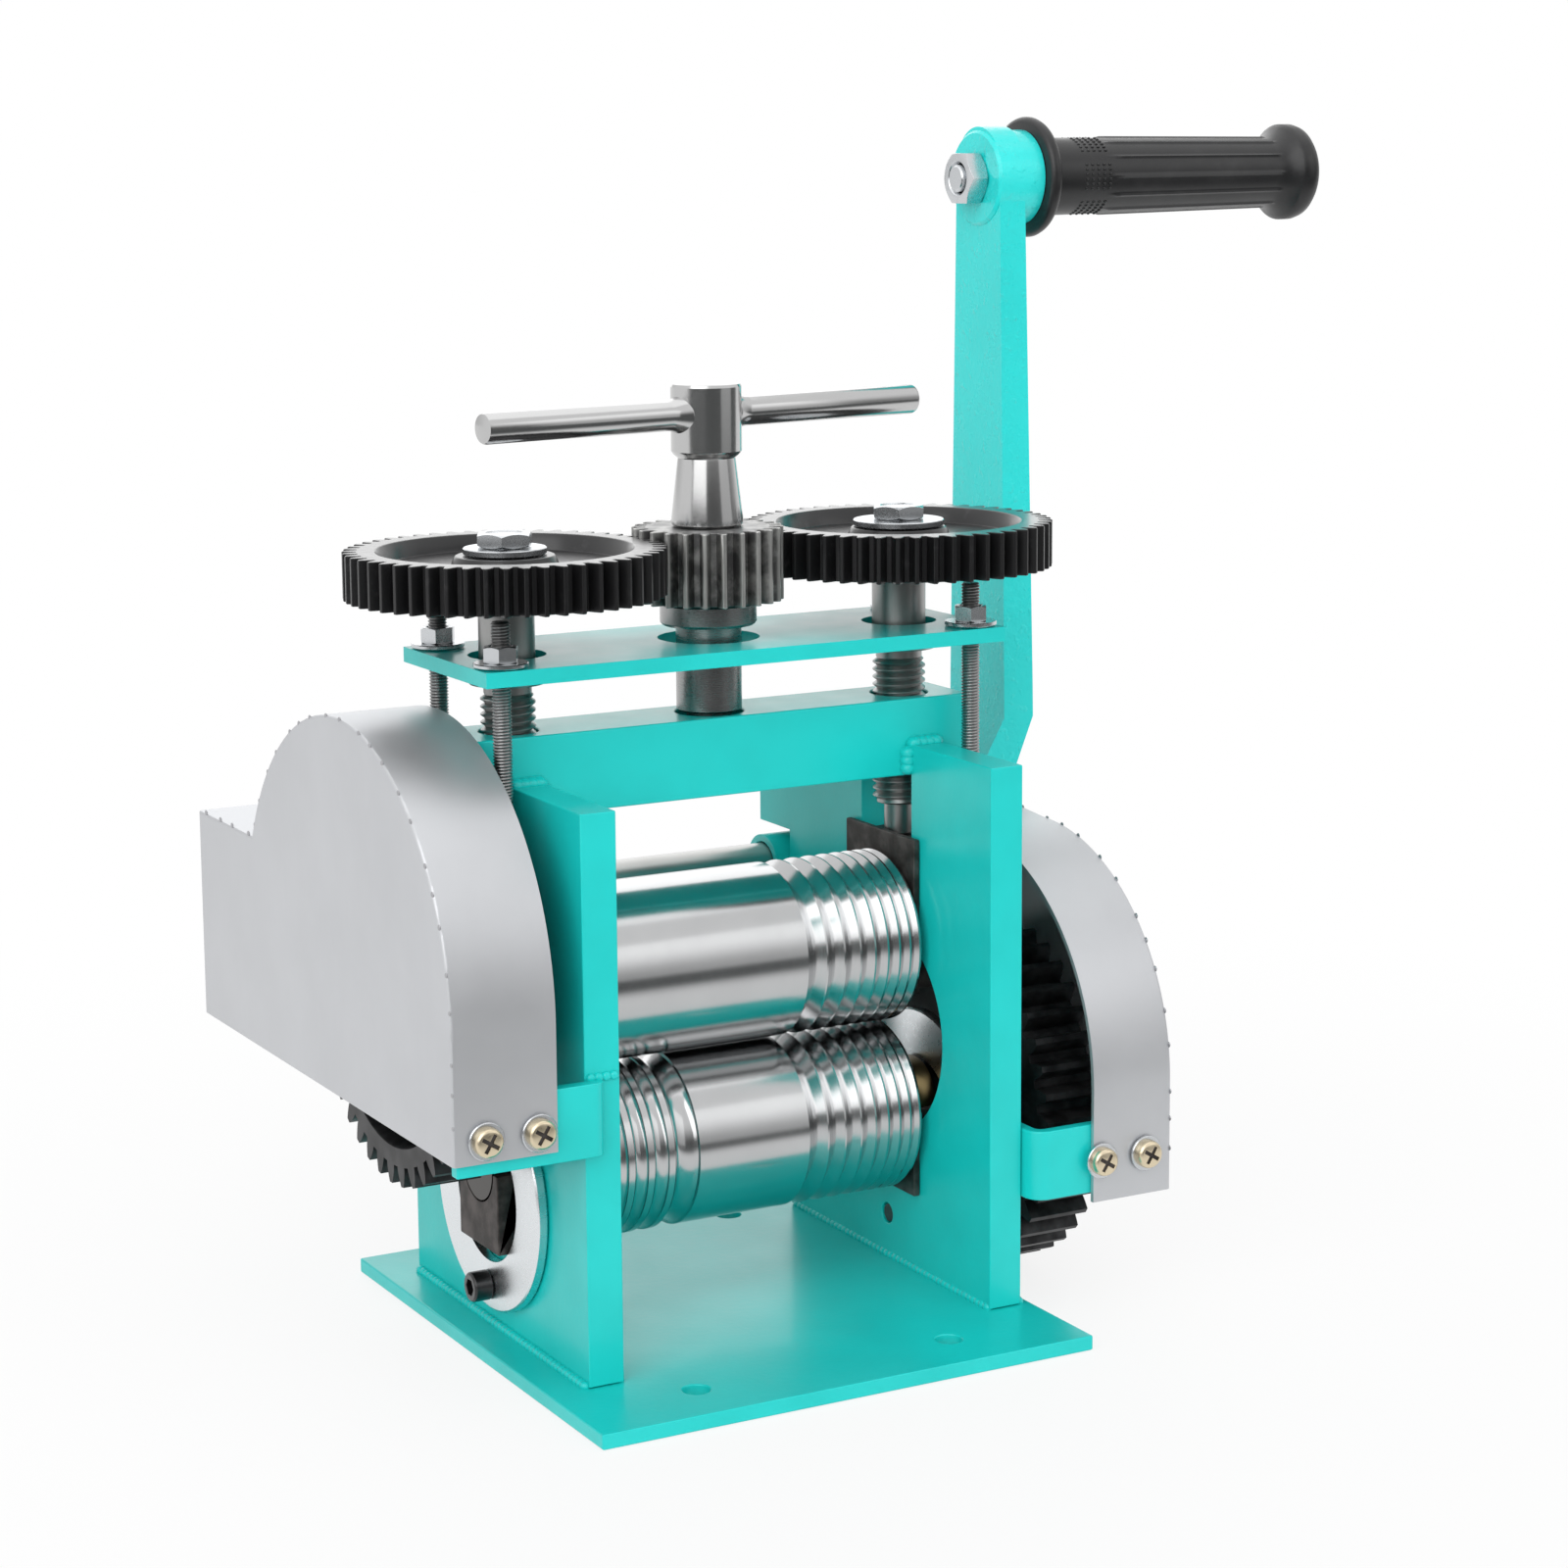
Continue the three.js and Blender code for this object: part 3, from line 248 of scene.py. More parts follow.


# painted light: the arm's turquoise is a lighter copy of the frame's, for the light that falls on the arm
CAST_PAINT_WITH_PAINTED_LIGHT = painted_casting("cast_turquoise_paint_with_painted_light", (0.025, 0.83, 0.8))

# %% [markdown]
# Bare steel looks like what it reflects, so its colour matters less than its roughness. A lathe
# leaves rings and a grinder leaves lines, so one function takes the direction of the marks, as a
# stretch of the noise, and how deep they are. The same function then serves for zinc and bronze.

# %% Steels: the lathe's rings run round a shaft, so its noise is stretched that way


def steel(name, colour, rough, marks=0.006, stretch=(1, 1, 1), size=0.6, stain=0.08):
    metal = Finish(name)
    grain = metal.noise(size, 2.0, stretch)
    cloud = metal.noise(18)
    dull = tuple((1 - 2.5 * stain) * value for value in colour)
    metal.set(Base_Color=metal.mix(cloud, dull, colour), Metallic=1.0)
    metal.set(Roughness=rough * 0.7 + rough * 0.35 * grain + stain * cloud)
    metal.bump(grain, marks)
    return metal.owner


ALONG_X = (6, 0.02, 0.02)
SHAFT_STEEL = steel("bare_shaft_steel", (0.5, 0.5, 0.49), 0.34, 0.004, ALONG_X, 1.5, 0.1)
SPINDLE_STEEL = steel("bare_spindle_steel", (0.4, 0.4, 0.4), 0.26, 0.005, (0.3, 0.3, 4), 1.5, 0.1)
CHROME = steel("satin_handle_steel", (0.55, 0.55, 0.55), 0.18, 0.0015, (1, 1, 1), 1.0, 0.03)
ZINC = steel("bright_zinc", (0.66, 0.68, 0.7), 0.26, 0.0015, (1, 1, 1), 0.8, 0.07)
YELLOW_ZINC = steel("yellow_zinc", (0.78, 0.67, 0.48), 0.3, 0.002, (1, 1, 1), 0.9, 0.06)
BRONZE = steel("oiled_bronze", (0.23, 0.17, 0.08), 0.32, 0.006, (1, 1, 1), 1.0, 0.12)

# %% [markdown]
# The rolls are one piece with their journals, but only the barrel is ground. A second material
# would need a cut in the mesh, so the distance from the middle along X tells the two apart.
# The centre gear's bright tips, partly wear and partly a painted highlight, are found in the same way, by the
# distance from its axis.

# %% Rolls: ground bright on the barrel, and painted dark on the journals as the shade between barrel and blocks
BARREL_HALF = 50.6


def roll_steel():
    metal = Finish("ground_roll_steel")
    rings = metal.noise(1.2, 2.0, ALONG_X)
    cloud = metal.noise(18)
    x, _, _ = metal.apart(metal.place())
    # painted shade: the journals are coloured near black for the shade between the barrel and the bearing blocks
    shaded_journal = metal.ramp(x * x, (BARREL_HALF + 0.1) ** 2, (BARREL_HALF + 0.6) ** 2)
    ground = metal.mix(cloud, (0.46, 0.465, 0.47), (0.56, 0.565, 0.57))
    metal.set(Base_Color=metal.mix(shaded_journal, ground, (0.07, 0.066, 0.062)), Metallic=1.0)
    metal.set(Roughness=0.12 + 0.07 * rings + 0.04 * cloud + 0.14 * shaded_journal)
    metal.bump(rings, 0.003)
    return metal.owner


ROLL_STEEL = roll_steel()

# %% Centre gear: dark and streaked along its teeth, with bright tips that are partly wear and partly a painted highlight
TIP_WEAR_AND_HIGHLIGHT = (18.5, 19.3)


def streaked_steel():
    metal = Finish("streaked_gear_steel")
    streaks = metal.noise(1.1, 3.0, (1, 1, 0.12))
    patches = metal.ramp(metal.noise(5, 4.0), 0.4, 0.7)
    x, y, _ = metal.apart(metal.place())
    # bright tips: partly wear and partly a painted highlight along the tooth tips
    tip = metal.ramp(x * x + y * y, TIP_WEAR_AND_HIGHLIGHT[0] ** 2, TIP_WEAR_AND_HIGHLIGHT[1] ** 2)
    dark = metal.mix(patches, (0.13, 0.13, 0.13), (0.36, 0.36, 0.35))
    wear_and_highlight = metal.mix(tip * (0.4 + 0.6 * streaks), dark, (0.62, 0.62, 0.6))
    metal.set(Base_Color=wear_and_highlight, Metallic=0.9)
    metal.set(Roughness=0.3 + 0.15 * streaks)
    metal.bump(streaks, 0.02)
    return metal.owner


STREAKED_STEEL = streaked_steel()

# %% [markdown]
# The covers are plated sheet. It is duller than the rolls and a little cloudy, so it is only partly
# metallic. Black oxide is a thin skin that stays oily: a dark metal with a coat over it gives black
# sides and bright rims, as the eye sees them at a low angle.

# %% Satin cover sheet: a faint rolled grain and cloudy plating


def cover_sheet():
    sheet = Finish("satin_cover_sheet")
    grain = sheet.noise(0.5, 2.0, (1, 1, 0.04))
    cloud = sheet.ramp(sheet.noise(34, 4.0), 0.25, 0.8)
    sheet.set(Base_Color=sheet.mix(cloud, (0.55, 0.56, 0.58), (0.6, 0.61, 0.63)), Metallic=0.72)
    sheet.set(Roughness=0.38 + 0.08 * cloud + 0.05 * grain)
    sheet.bump(grain + 0.6 * sheet.noise(3, 2.0), 0.006)
    return sheet.owner


SHEET = cover_sheet()

# %% Black oxide: black and oily, with brighter worn spots


def black_oxide():
    black = Finish("black_oxide")
    wear = black.ramp(black.noise(5, 5.0), 0.58, 0.82)
    black.set(Base_Color=black.mix(wear, (0.012, 0.012, 0.013), (0.05, 0.05, 0.052)))
    black.set(Metallic=0.5 + 0.3 * wear, Roughness=0.3 + 0.14 * black.noise(2.5))
    black.set(Coat_Weight=0.6, Coat_Roughness=0.2)
    black.bump(black.noise(0.8, 3.0), 0.01)
    return black.owner


BLACK = black_oxide()

# %% Worn grey on the roll gears' teeth, oily iron on the blocks


def dark_metal(name, dark, light, rough, skin):
    iron = Finish(name)
    patches = iron.ramp(iron.noise(6, 5.0), 0.35, 0.7)
    iron.set(Base_Color=iron.mix(patches, dark, light), Metallic=0.7)
    iron.set(Roughness=rough + 0.2 * iron.noise(3))
    iron.bump(iron.noise(1.2, 3.0), skin)
    return iron.owner


WORN_GEAR = dark_metal("worn_gear_steel", (0.016, 0.016, 0.017), (0.055, 0.055, 0.057), 0.3, 0.015)
BLOCK_IRON = dark_metal("oily_block_iron", (0.035, 0.03, 0.028), (0.12, 0.105, 0.1), 0.42, 0.03)

# %% Rubber: matt and slightly uneven


def rubber():
    grip = Finish("black_rubber")
    dust = grip.ramp(grip.noise(7, 4.0), 0.45, 0.85)
    grip.set(Base_Color=grip.mix(dust, (0.011, 0.011, 0.012), (0.02, 0.02, 0.021)), Metallic=0.0)
    grip.set(Roughness=0.28 + 0.14 * grip.noise(4))
    grip.bump(grip.noise(0.5, 2.0), 0.02)
    return grip.owner


RUBBER = rubber()

# %% A few more finishes of single pieces
RING_ZINC = steel("turned_ring_zinc", (0.8, 0.83, 0.85), 0.3, 0.003, (0.05, 1, 1), 1.4, 0.04)
THREAD_ZINC = steel("thread_zinc", (0.34, 0.34, 0.34), 0.34, 0.003, (1, 1, 1), 1.0, 0.1)
SCREW_STEEL = steel("dark_screw_steel", (0.4, 0.4, 0.395), 0.34, 0.006, (1, 1, 1), 1.2, 0.1)
WELD_SPOT = steel("weld_spots", (0.5, 0.5, 0.52), 0.36, 0.01, (1, 1, 1), 0.5, 0.1)
FINISH_OF = {
    "paint": PAINT, "polished_steel": ROLL_STEEL, "bare_steel": SHAFT_STEEL, "chrome": CHROME,
    "black_oxide": BLACK, "zinc": ZINC, "yellow_zinc": YELLOW_ZINC, "cover_sheet": SHEET,
    "dark_iron": BLOCK_IRON, "bronze": BRONZE, "rubber": RUBBER,
}
for node, obj in frame["nodes"].items():
    obj.data.materials.clear()
    obj.data.materials.append(FINISH_OF[SLOT_OF[node]])
print(len(bpy.data.materials), "finishes")

# %% [markdown]
# ## Ways to make a shape
# Nearly everything on the mill is turned, cut from plate, or both. So four helpers do most of the
# work: a profile spun round an axis, a box, a flat outline given a thickness, and a cut of one
# shape by another. A bevel along the sharp edges comes last, because real edges catch the light.

# %% Turned shapes
PAST = 1        # how far a cutting tool runs past the face that it cuts
LAP = 1         # how far a shape reaches into the one that it is joined to
NEAR = 0.01     # closer than this counts as lying in a plane or on a circle


def on_side(side, *places):
    """Places along X on the left (-1) or right (1) of the mill, in rising order."""
    return sorted(side * place for place in places)


def turned(profile, axis, centre, steps=96):
    """A solid of revolution from (radius, place along the axis) pairs."""
    bm = bmesh.new()
    along = AXES[axis]
    outward = AXES["X"] if axis == "Z" else AXES["Z"]
    base = centre - along * centre.dot(along)
    verts = [bm.verts.new(base + along * place + outward * radius) for radius, place in profile]
    edges = [bm.edges.new(pair) for pair in zip(verts, verts[1:])]
    bmesh.ops.spin(bm, geom=verts + edges, cent=base, axis=along, angle=FULL_TURN, steps=steps,
                   use_merge=True)
    bmesh.ops.remove_doubles(bm, verts=bm.verts, dist=1e-4)
    bmesh.ops.recalc_face_normals(bm, faces=bm.faces)
    return bm


def rod(radius, start, end, axis, centre, steps=48):
    return turned([(0, start), (radius, start), (radius, end), (0, end)], axis, centre, steps)


# %% Boxes and flat plates


def block(low, high):
    bm = bmesh.new()
    low, high = Vector(low), Vector(high)
    bmesh.ops.create_cube(bm, size=1)
    bmesh.ops.scale(bm, vec=high - low, verts=bm.verts)
    bmesh.ops.translate(bm, vec=(low + high) / 2, verts=bm.verts)
    return bm


def plate(outline, axis, start, end):
    """A flat outline, given a thickness along an axis. Its points are the other two coordinates."""
    bm = bmesh.new()
    order = {"X": lambda a, b: (start, a, b), "Y": lambda a, b: (a, start, b),
             "Z": lambda a, b: (a, b, start)}[axis]
    face = bm.faces.new([bm.verts.new(order(a, b)) for a, b in outline])
    grown = bmesh.ops.extrude_face_region(bm, geom=[face])["geom"]
    moved = [item for item in grown if isinstance(item, bmesh.types.BMVert)]
    bmesh.ops.translate(bm, vec=AXES[axis] * (end - start), verts=moved)
    bmesh.ops.recalc_face_normals(bm, faces=bm.faces)
    return bm


# %% Eased rims and arcs, as points


def eased(radius, start, end, edge):
    """The side of a cylinder whose two rims are eased, as points of a profile."""
    return [(radius - edge, start), (radius, start + edge), (radius, end - edge), (radius - edge, end)]


def arc(centre, radius, start, end, steps=24):
    """Points on a circle, with the angles in degrees."""
    angles = [math.radians(start + (end - start) * i / steps) for i in range(steps + 1)]
    return [(centre[0] + radius * math.cos(t), centre[1] + radius * math.sin(t)) for t in angles]


# %% Joining and cutting


def to_object(bm):
    mesh = bpy.data.meshes.new("workpiece")
    bm.to_mesh(mesh)
    bm.free()
    obj = bpy.data.objects.new("workpiece", mesh)
    bpy.context.scene.collection.objects.link(obj)
    return obj


def together(*shapes):
    """Several shapes in one mesh, each kept whole."""
    whole = bmesh.new()
    for shape in shapes:
        mesh = bpy.data.meshes.new("workpiece")
        shape.to_mesh(mesh)
        shape.free()
        whole.from_mesh(mesh)
        bpy.data.meshes.remove(mesh)
    return whole


def carved(body, tool, operation="DIFFERENCE"):
    """body cut by, joined with or limited to tool."""
    body, tool = to_object(body), to_object(tool)
    modifier = body.modifiers.new("carve", "BOOLEAN")
    modifier.operation = operation
    modifier.solver = "EXACT"
    modifier.object = tool
    bpy.context.view_layer.update()
    result = bmesh.new()
    result.from_object(body, bpy.context.evaluated_depsgraph_get())
    for obj in (body, tool):
        mesh = obj.data
        bpy.data.objects.remove(obj)
        bpy.data.meshes.remove(mesh)
    return result


# %% Finishing a piece


def finished(bm, name, finish, *nodes, body=None, slot=None, soften=0.4, segments=2, smooth=35,
             flat=False):
    """Makes the shape a piece in metres, rides it on its body and hides the nodes it stands for."""
    bmesh.ops.scale(bm, vec=(MM, MM, MM), verts=bm.verts)
    bmesh.ops.remove_doubles(bm, verts=bm.verts, dist=1e-6)
    if flat:
        bmesh.ops.dissolve_limit(bm, angle_limit=0.002, verts=bm.verts, edges=bm.edges)
    bmesh.ops.recalc_face_normals(bm, faces=bm.faces)
    mesh = bpy.data.meshes.new(name)
    bm.to_mesh(mesh)
    bm.free()
    mesh.materials.append(finish)
    mesh.shade_smooth()
    mesh.set_sharp_from_angle(angle=math.radians(smooth))
    piece = bpy.data.objects.new(name, mesh)
    bpy.context.scene.collection.objects.link(piece)
    if soften:
        bevel = piece.modifiers.new("soften", "BEVEL")
        bevel.width = soften * MM
        bevel.segments = segments
        bevel.limit_method = "ANGLE"
        bevel.angle_limit = math.radians(smooth)
        bevel.harden_normals = True
    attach(piece, body or BODY_OF[nodes[0]])
    if nodes:
        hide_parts(*nodes)
    print(name, len(mesh.polygons), "faces")
    return piece


# %% [markdown]
# ## Rolls
# The rolls are turned and ground. Square wire is rolled in V grooves at the right of both rolls,
# and half-round wire in round grooves at the left of the lower one. The profile is spun, with the
# grooves as part of it, because cutting them afterwards would leave seams in the ground surface.

# %% Groove profiles
ROLL_RADIUS = (cad_box("upper_roll")[1].z - cad_box("upper_roll")[0].z) / 2
JOURNAL_RADIUS, SEAT_RADIUS, SEAT_START, PLAIN_REACH = 8.8, 7.4, 73.7, 80
BARREL_EASE = 0.6
SQUARE_GROOVES = (2.2, 2.5, 2.8, 3.2, 3.7, 4.1, 4.5, 5.2)
ROUND_GROOVES = (2.9, 3.2, 3.5, 3.9, 4.2, 7.2)
GROOVE_LAND = 0.7
ROUND_LAND = 1.7
ROUND_DEPTH = 0.24
GROOVE_MARGIN = 1.2
LAND_EASE = 0.12


def square_grooves():
    """V grooves from the right end inwards, widest last, as points in the order of growing x."""
    points = []
    edge = BARREL_HALF - GROOVE_MARGIN
    for width in SQUARE_GROOVES:
        deep = ROLL_RADIUS - width / 2
        points = [(ROLL_RADIUS, edge - width - LAND_EASE), (ROLL_RADIUS - LAND_EASE, edge - width),
                  (deep + LAND_EASE, edge - width / 2 - LAND_EASE),
                  (deep, edge - width / 2), (deep + LAND_EASE, edge - width / 2 + LAND_EASE),
                  (ROLL_RADIUS - LAND_EASE, edge), (ROLL_RADIUS, edge + LAND_EASE)] + points
        edge -= width + GROOVE_LAND
    return points


# %% Round grooves, and the whole profile of a roll


def round_grooves(steps=8):
    """Round-bottomed grooves from the left end inwards, widest last."""
    points = []
    edge = GROOVE_MARGIN - BARREL_HALF
    for width in ROUND_GROOVES:
        depth = ROUND_DEPTH * width
        for step in range(steps + 1):
            turn = math.pi * step / steps
            points.append((ROLL_RADIUS - depth * math.sin(turn),
                           edge + width * (1 - math.cos(turn)) / 2))
        edge += width + ROUND_LAND
    return points


def roll_end(reach):
    """From the journal to the end. An end that carries a gear is stepped down to its seat."""
    if abs(reach) < PLAIN_REACH:
        return [(JOURNAL_RADIUS, reach), (0, reach)]
    step = math.copysign(SEAT_START, reach)
    return [(JOURNAL_RADIUS, step), (SEAT_RADIUS, step), (SEAT_RADIUS, reach), (0, reach)]


def roll_profile(node, grooves):
    low, high = cad_box(node)
    shoulder, edge = ROLL_RADIUS - BARREL_EASE, BARREL_HALF - BARREL_EASE
    barrel = [(JOURNAL_RADIUS, -BARREL_HALF), (shoulder, -BARREL_HALF), (ROLL_RADIUS, -edge)]
    barrel += grooves
    barrel += [(ROLL_RADIUS, edge), (shoulder, BARREL_HALF), (JOURNAL_RADIUS, BARREL_HALF)]
    return roll_end(low.x)[::-1] + barrel + roll_end(high.x)


print("rolls of", round(2 * ROLL_RADIUS, 2), "mm with", len(SQUARE_GROOVES), "square grooves")

# %% Spin the two rolls
for node, pivot, grooves in (("upper_roll", UPPER_AXIS, square_grooves()),
                             ("lower_roll", LOWER_AXIS, round_grooves() + square_grooves())):
    bm = turned(roll_profile(node, grooves), "X", pivot, steps=144)
    finished(bm, "ground_" + node, ROLL_STEEL, node, soften=0, smooth=25)

# %% [markdown]
# ## Frame plates
# The frame is flame-cut plate under thick paint, so its edges are slightly round. The base, the
# beam and the lifting plate are blocks with holes. A side plate is a flat outline that already has
# its slot. It carries a bearing tube and an ear behind.

# %% Base plate
BOLT_HOLE_RADIUS, BOLT_HOLE_INSET, BOLT_HOLE_SPAN = 3.5, 16, 72.4


def base_plate():
    low, high = cad_box("base_plate")
    body = block(low, high)
    for hand in (-1, 1):
        x = (low.x + high.x + hand * BOLT_HOLE_SPAN) / 2
        for y in (low.y + BOLT_HOLE_INSET, high.y - BOLT_HOLE_INSET):
            hole = rod(BOLT_HOLE_RADIUS, low.z - PAST, high.z + PAST, "Z", Vector((x, y, 0)))
            body = carved(body, hole)
    finished(body, "painted_base_plate", PAINT, "base_plate", soften=0.5, flat=True)


base_plate()

# %% [markdown]
# A side plate has a slot for the bearing blocks, open at the top, a round port where the roll ends
# pass, and behind it a tube for the countershaft. A tube with a bore could be a rod that is drilled
# later. Here it is a ring from the start, because each cut fewer keeps the mesh cleaner.

# %% Side plates
PLATE_IN, PLATE_OUT = 53.1, 62.6
SLOT_HALF, SLOT_FLOOR = 12.8, 25.3
PORT_RADIUS, PORT_HEIGHT = 28.3, 68.6
KEEPER_HOLE_RADIUS, KEEPER_HOLE_HEIGHT = 2.8, 15.9
TUBE_IN, TUBE_OUT, TUBE_BORE, TUBE_RADIUS = 49.1, 70.6, 6.9, 9
BACK_EDGE, EAR_FLOOR = SHAFT_AXIS.y - 8.5, SHAFT_AXIS.z + 11.5
EAR_TRIM, LUG_HALF = 0.4, 10


def side_plate(side):
    node = "right_side_plate" if side > 0 else "left_side_plate"
    low, high = cad_box(node)
    near, far = on_side(side, PLATE_IN, PLATE_OUT)
    slab = [(low.y, low.z), (BACK_EDGE, low.z)]
    if side > 0:
        lug_low, lug_top = IDLER_AXIS.z - LUG_HALF, IDLER_AXIS.z + LUG_HALF
        lug_back = IDLER_AXIS.y + LUG_HALF
        slab += [(BACK_EDGE, lug_low), (lug_back, lug_low), (lug_back, lug_top), (BACK_EDGE, lug_top)]
    ear_back = high.y - EAR_TRIM
    slab += [(BACK_EDGE, EAR_FLOOR), (ear_back, EAR_FLOOR), (ear_back, high.z), (SLOT_HALF, high.z),
             (SLOT_HALF, SLOT_FLOOR), (-SLOT_HALF, SLOT_FLOOR), (-SLOT_HALF, high.z), (low.y, high.z)]
    body = plate(slab, "X", near, far)
    for radius, height, steps in ((PORT_RADIUS, PORT_HEIGHT, 96),
                                  (KEEPER_HOLE_RADIUS, KEEPER_HOLE_HEIGHT, 48)):
        hole = rod(radius, near - PAST, far + PAST, "X", Vector((0, 0, height)), steps)
        body = carved(body, hole)
    start, end = on_side(side, TUBE_IN, TUBE_OUT)
    ring = [(TUBE_BORE, start), (TUBE_RADIUS, start), (TUBE_RADIUS, end), (TUBE_BORE, end),
            (TUBE_BORE, start)]
    body = carved(body, turned(ring, "X", SHAFT_AXIS, 64), "UNION")
    finished(body, "painted_" + node, PAINT, node, soften=0.6, segments=3, flat=True)


side_plate(-1)
side_plate(1)

# %% Cross beam
SCREW_JOINTS = ("left_screw_turn", "right_screw_turn")
SPINDLE_HOLE, SCREW_HOLE, HOLE_DEPTH = 8.9, 7.6, 15


def cross_beam():
    low, high = cad_box("cross_beam")
    body = block(low, high)
    blind = (high.z - HOLE_DEPTH, high.z + PAST)
    through = (low.z - PAST, high.z - HOLE_DEPTH + PAST)
    left, right = (PIVOT[joint].x for joint in SCREW_JOINTS)
    for x, radius, reaches in ((left, SCREW_HOLE, (blind, through)), (0, SPINDLE_HOLE, (blind,)),
                               (right, SCREW_HOLE, (blind, through))):
        for start, end in reaches:
            body = carved(body, rod(radius, start, end, "Z", Vector((x, 0, 0))))
    finished(body, "painted_cross_beam", PAINT, "cross_beam", soften=0.7, segments=3, flat=True)


cross_beam()

# %% Lifting plate
COLLAR_HOLE, STUB_HOLE = 13.2, 9.9
STUD_HOLE, STUD_X, STUD_Y = 2.8, 67.5, 19.2


def lift_plate():
    low, high = cad_box("lift_plate")
    body = block(low, high)
    holes = [(0, 0, COLLAR_HOLE)] + [(PIVOT[joint].x, 0, STUB_HOLE) for joint in SCREW_JOINTS]
    holes += [(x, y, STUD_HOLE) for x in (-STUD_X, STUD_X) for y in (-STUD_Y, STUD_Y)]
    for x, y, radius in holes:
        body = carved(body, rod(radius, low.z - PAST, high.z + PAST, "Z", Vector((x, y, 0)), 72))
    finished(body, "painted_lift_plate", PAINT, "lift_plate", soften=0.4, flat=True)


lift_plate()

# %% [markdown]
# ## Gears
# A gear starts as a disc with as many corners as its teeth need points. Insets sink the dish and
# raise the hub while the disc is still round, and then the rim's corners move out to the tooth
# form. Only the rim moves, so dish and hub stay round. The teeth use the CAD model's formula, so
# they mesh.

# %% Tooth form
PRESSURE_ANGLE = math.radians(20)
FLANK = (-1.25, -0.75, -0.2, 0.4, 0.85, 1.0)    # from root to tip, in modules from the pitch circle


def tooth_half_angle(radius, pitch_radius, teeth, play):
    base = pitch_radius * math.cos(PRESSURE_ANGLE)
    angle = math.acos(min(1, base / max(radius, base)))
    involute = [math.tan(a) - a for a in (PRESSURE_ANGLE, angle)]
    return math.pi / (2 * teeth) - play / (4 * pitch_radius) + involute[0] - involute[1]


# %% A gear from a disc


def gear(teeth, module, phase, play, width, steps):
    """A gear on Z from 0 to width. steps are (inset, sink) moves on its upper face."""
    pitch_radius = teeth * module / 2
    per_tooth = 2 * len(FLANK)
    count = teeth * per_tooth
    start = pitch_radius + FLANK[0] * module
    bm = bmesh.new()
    bmesh.ops.create_circle(bm, cap_ends=True, segments=count, radius=start)
    lower = bm.faces[:][0]
    grown = bmesh.ops.extrude_face_region(bm, geom=[lower])["geom"]
    upper = [item for item in grown if isinstance(item, bmesh.types.BMFace)][0]
    bmesh.ops.translate(bm, vec=(0, 0, width), verts=upper.verts)
    bmesh.ops.recalc_face_normals(bm, faces=bm.faces)
    for inset, sink in steps:
        bmesh.ops.inset_region(bm, faces=[upper], thickness=inset, use_boundary=True,
                               use_even_offset=True)
        bmesh.ops.translate(bm, vec=(0, 0, sink), verts=upper.verts)
    pitch = FULL_TURN / teeth
    radii = [pitch_radius + share * module for share in FLANK]
    halves = [tooth_half_angle(r, pitch_radius, teeth, play) for r in radii]
    form = [(r, pitch / 2 - h) for r, h in zip(radii, halves)]
    form += [(r, pitch / 2 + h) for r, h in reversed(list(zip(radii, halves)))]
    rim = [vert for vert in bm.verts if vert.co.xy.length > start - NEAR]
    for vert in rim:
        index = round(math.atan2(vert.co.y, vert.co.x) / FULL_TURN * count) % count
        radius, offset = form[index % per_tooth]
        angle = index // per_tooth * pitch + offset
        vert.co.x, vert.co.y = radius * math.cos(angle), radius * math.sin(angle)
    turn = Matrix.Rotation(phase - pitch / 2, 3, "Z")
    bmesh.ops.rotate(bm, cent=(0, 0, 0), matrix=turn, verts=bm.verts)
    return bm


def facing(bm, side, face, centre):
    """Lays a gear made on Z along X, with its upper face outwards at x = face."""
    stand = Matrix(((0, 0, side), (1, 0, 0), (0, 1, 0)))
    bmesh.ops.transform(bm, matrix=stand.to_4x4(), verts=bm.verts)
    bmesh.ops.translate(bm, vec=(face, centre.y, centre.z), verts=bm.verts)
    return bm


# %% Phases that put the teeth in mesh at rest
DRIVE_MODULE, DRIVE_TEETH, PINION_TEETH, DRIVE_PLAY = 2.25, 40, 15, 0.34
TOP_MODULE, TOP_TEETH, CENTRE_TEETH, TOP_PLAY = 1.5, 52, 24, 0.3


def mesh_phase(direction, neighbour_teeth, neighbour_phase, teeth):
    turned_by = (direction - neighbour_phase) * neighbour_teeth / teeth
    return direction + math.pi + math.pi / teeth + turned_by


def direction(start, end):
    return math.atan2(end.z - start.z, end.y - start.y)


UPPER_PHASE = mesh_phase(direction(SHAFT_AXIS, UPPER_AXIS), PINION_TEETH, 0, DRIVE_TEETH)
IDLER_PHASE = mesh_phase(direction(SHAFT_AXIS, IDLER_AXIS), PINION_TEETH, 0, PINION_TEETH)
LOWER_PHASE = mesh_phase(direction(IDLER_AXIS, LOWER_AXIS), PINION_TEETH, IDLER_PHASE, DRIVE_TEETH)
print("phases in radians", UPPER_PHASE, IDLER_PHASE, LOWER_PHASE)

# %% [markdown]
# Both roll gears have a deep dish with a low hub in it, and the pinions are plain. The steps of an
# inset are pairs: how far in from the rim, and how far up or down.

# %% Roll gears, pinions and idler
GEAR_IN, GEAR_WIDTH = 74, 18
ROLL_GEAR_STEPS = ((4.7, 0), (0.4, -0.4), (1.6, -8), (20.0, 0), (1.4, 4.4), (0.5, 0.4))

for node, side, pivot, phase in (("left_roll_gear", -1, UPPER_AXIS, UPPER_PHASE),
                                 ("right_roll_gear", 1, LOWER_AXIS, LOWER_PHASE)):
    wheel = gear(DRIVE_TEETH, DRIVE_MODULE, phase, DRIVE_PLAY, GEAR_WIDTH, ROLL_GEAR_STEPS)
    facing(wheel, side, side * GEAR_IN, pivot)
    finished(wheel, "cut_" + node, WORN_GEAR, node, soften=0.25, segments=1)

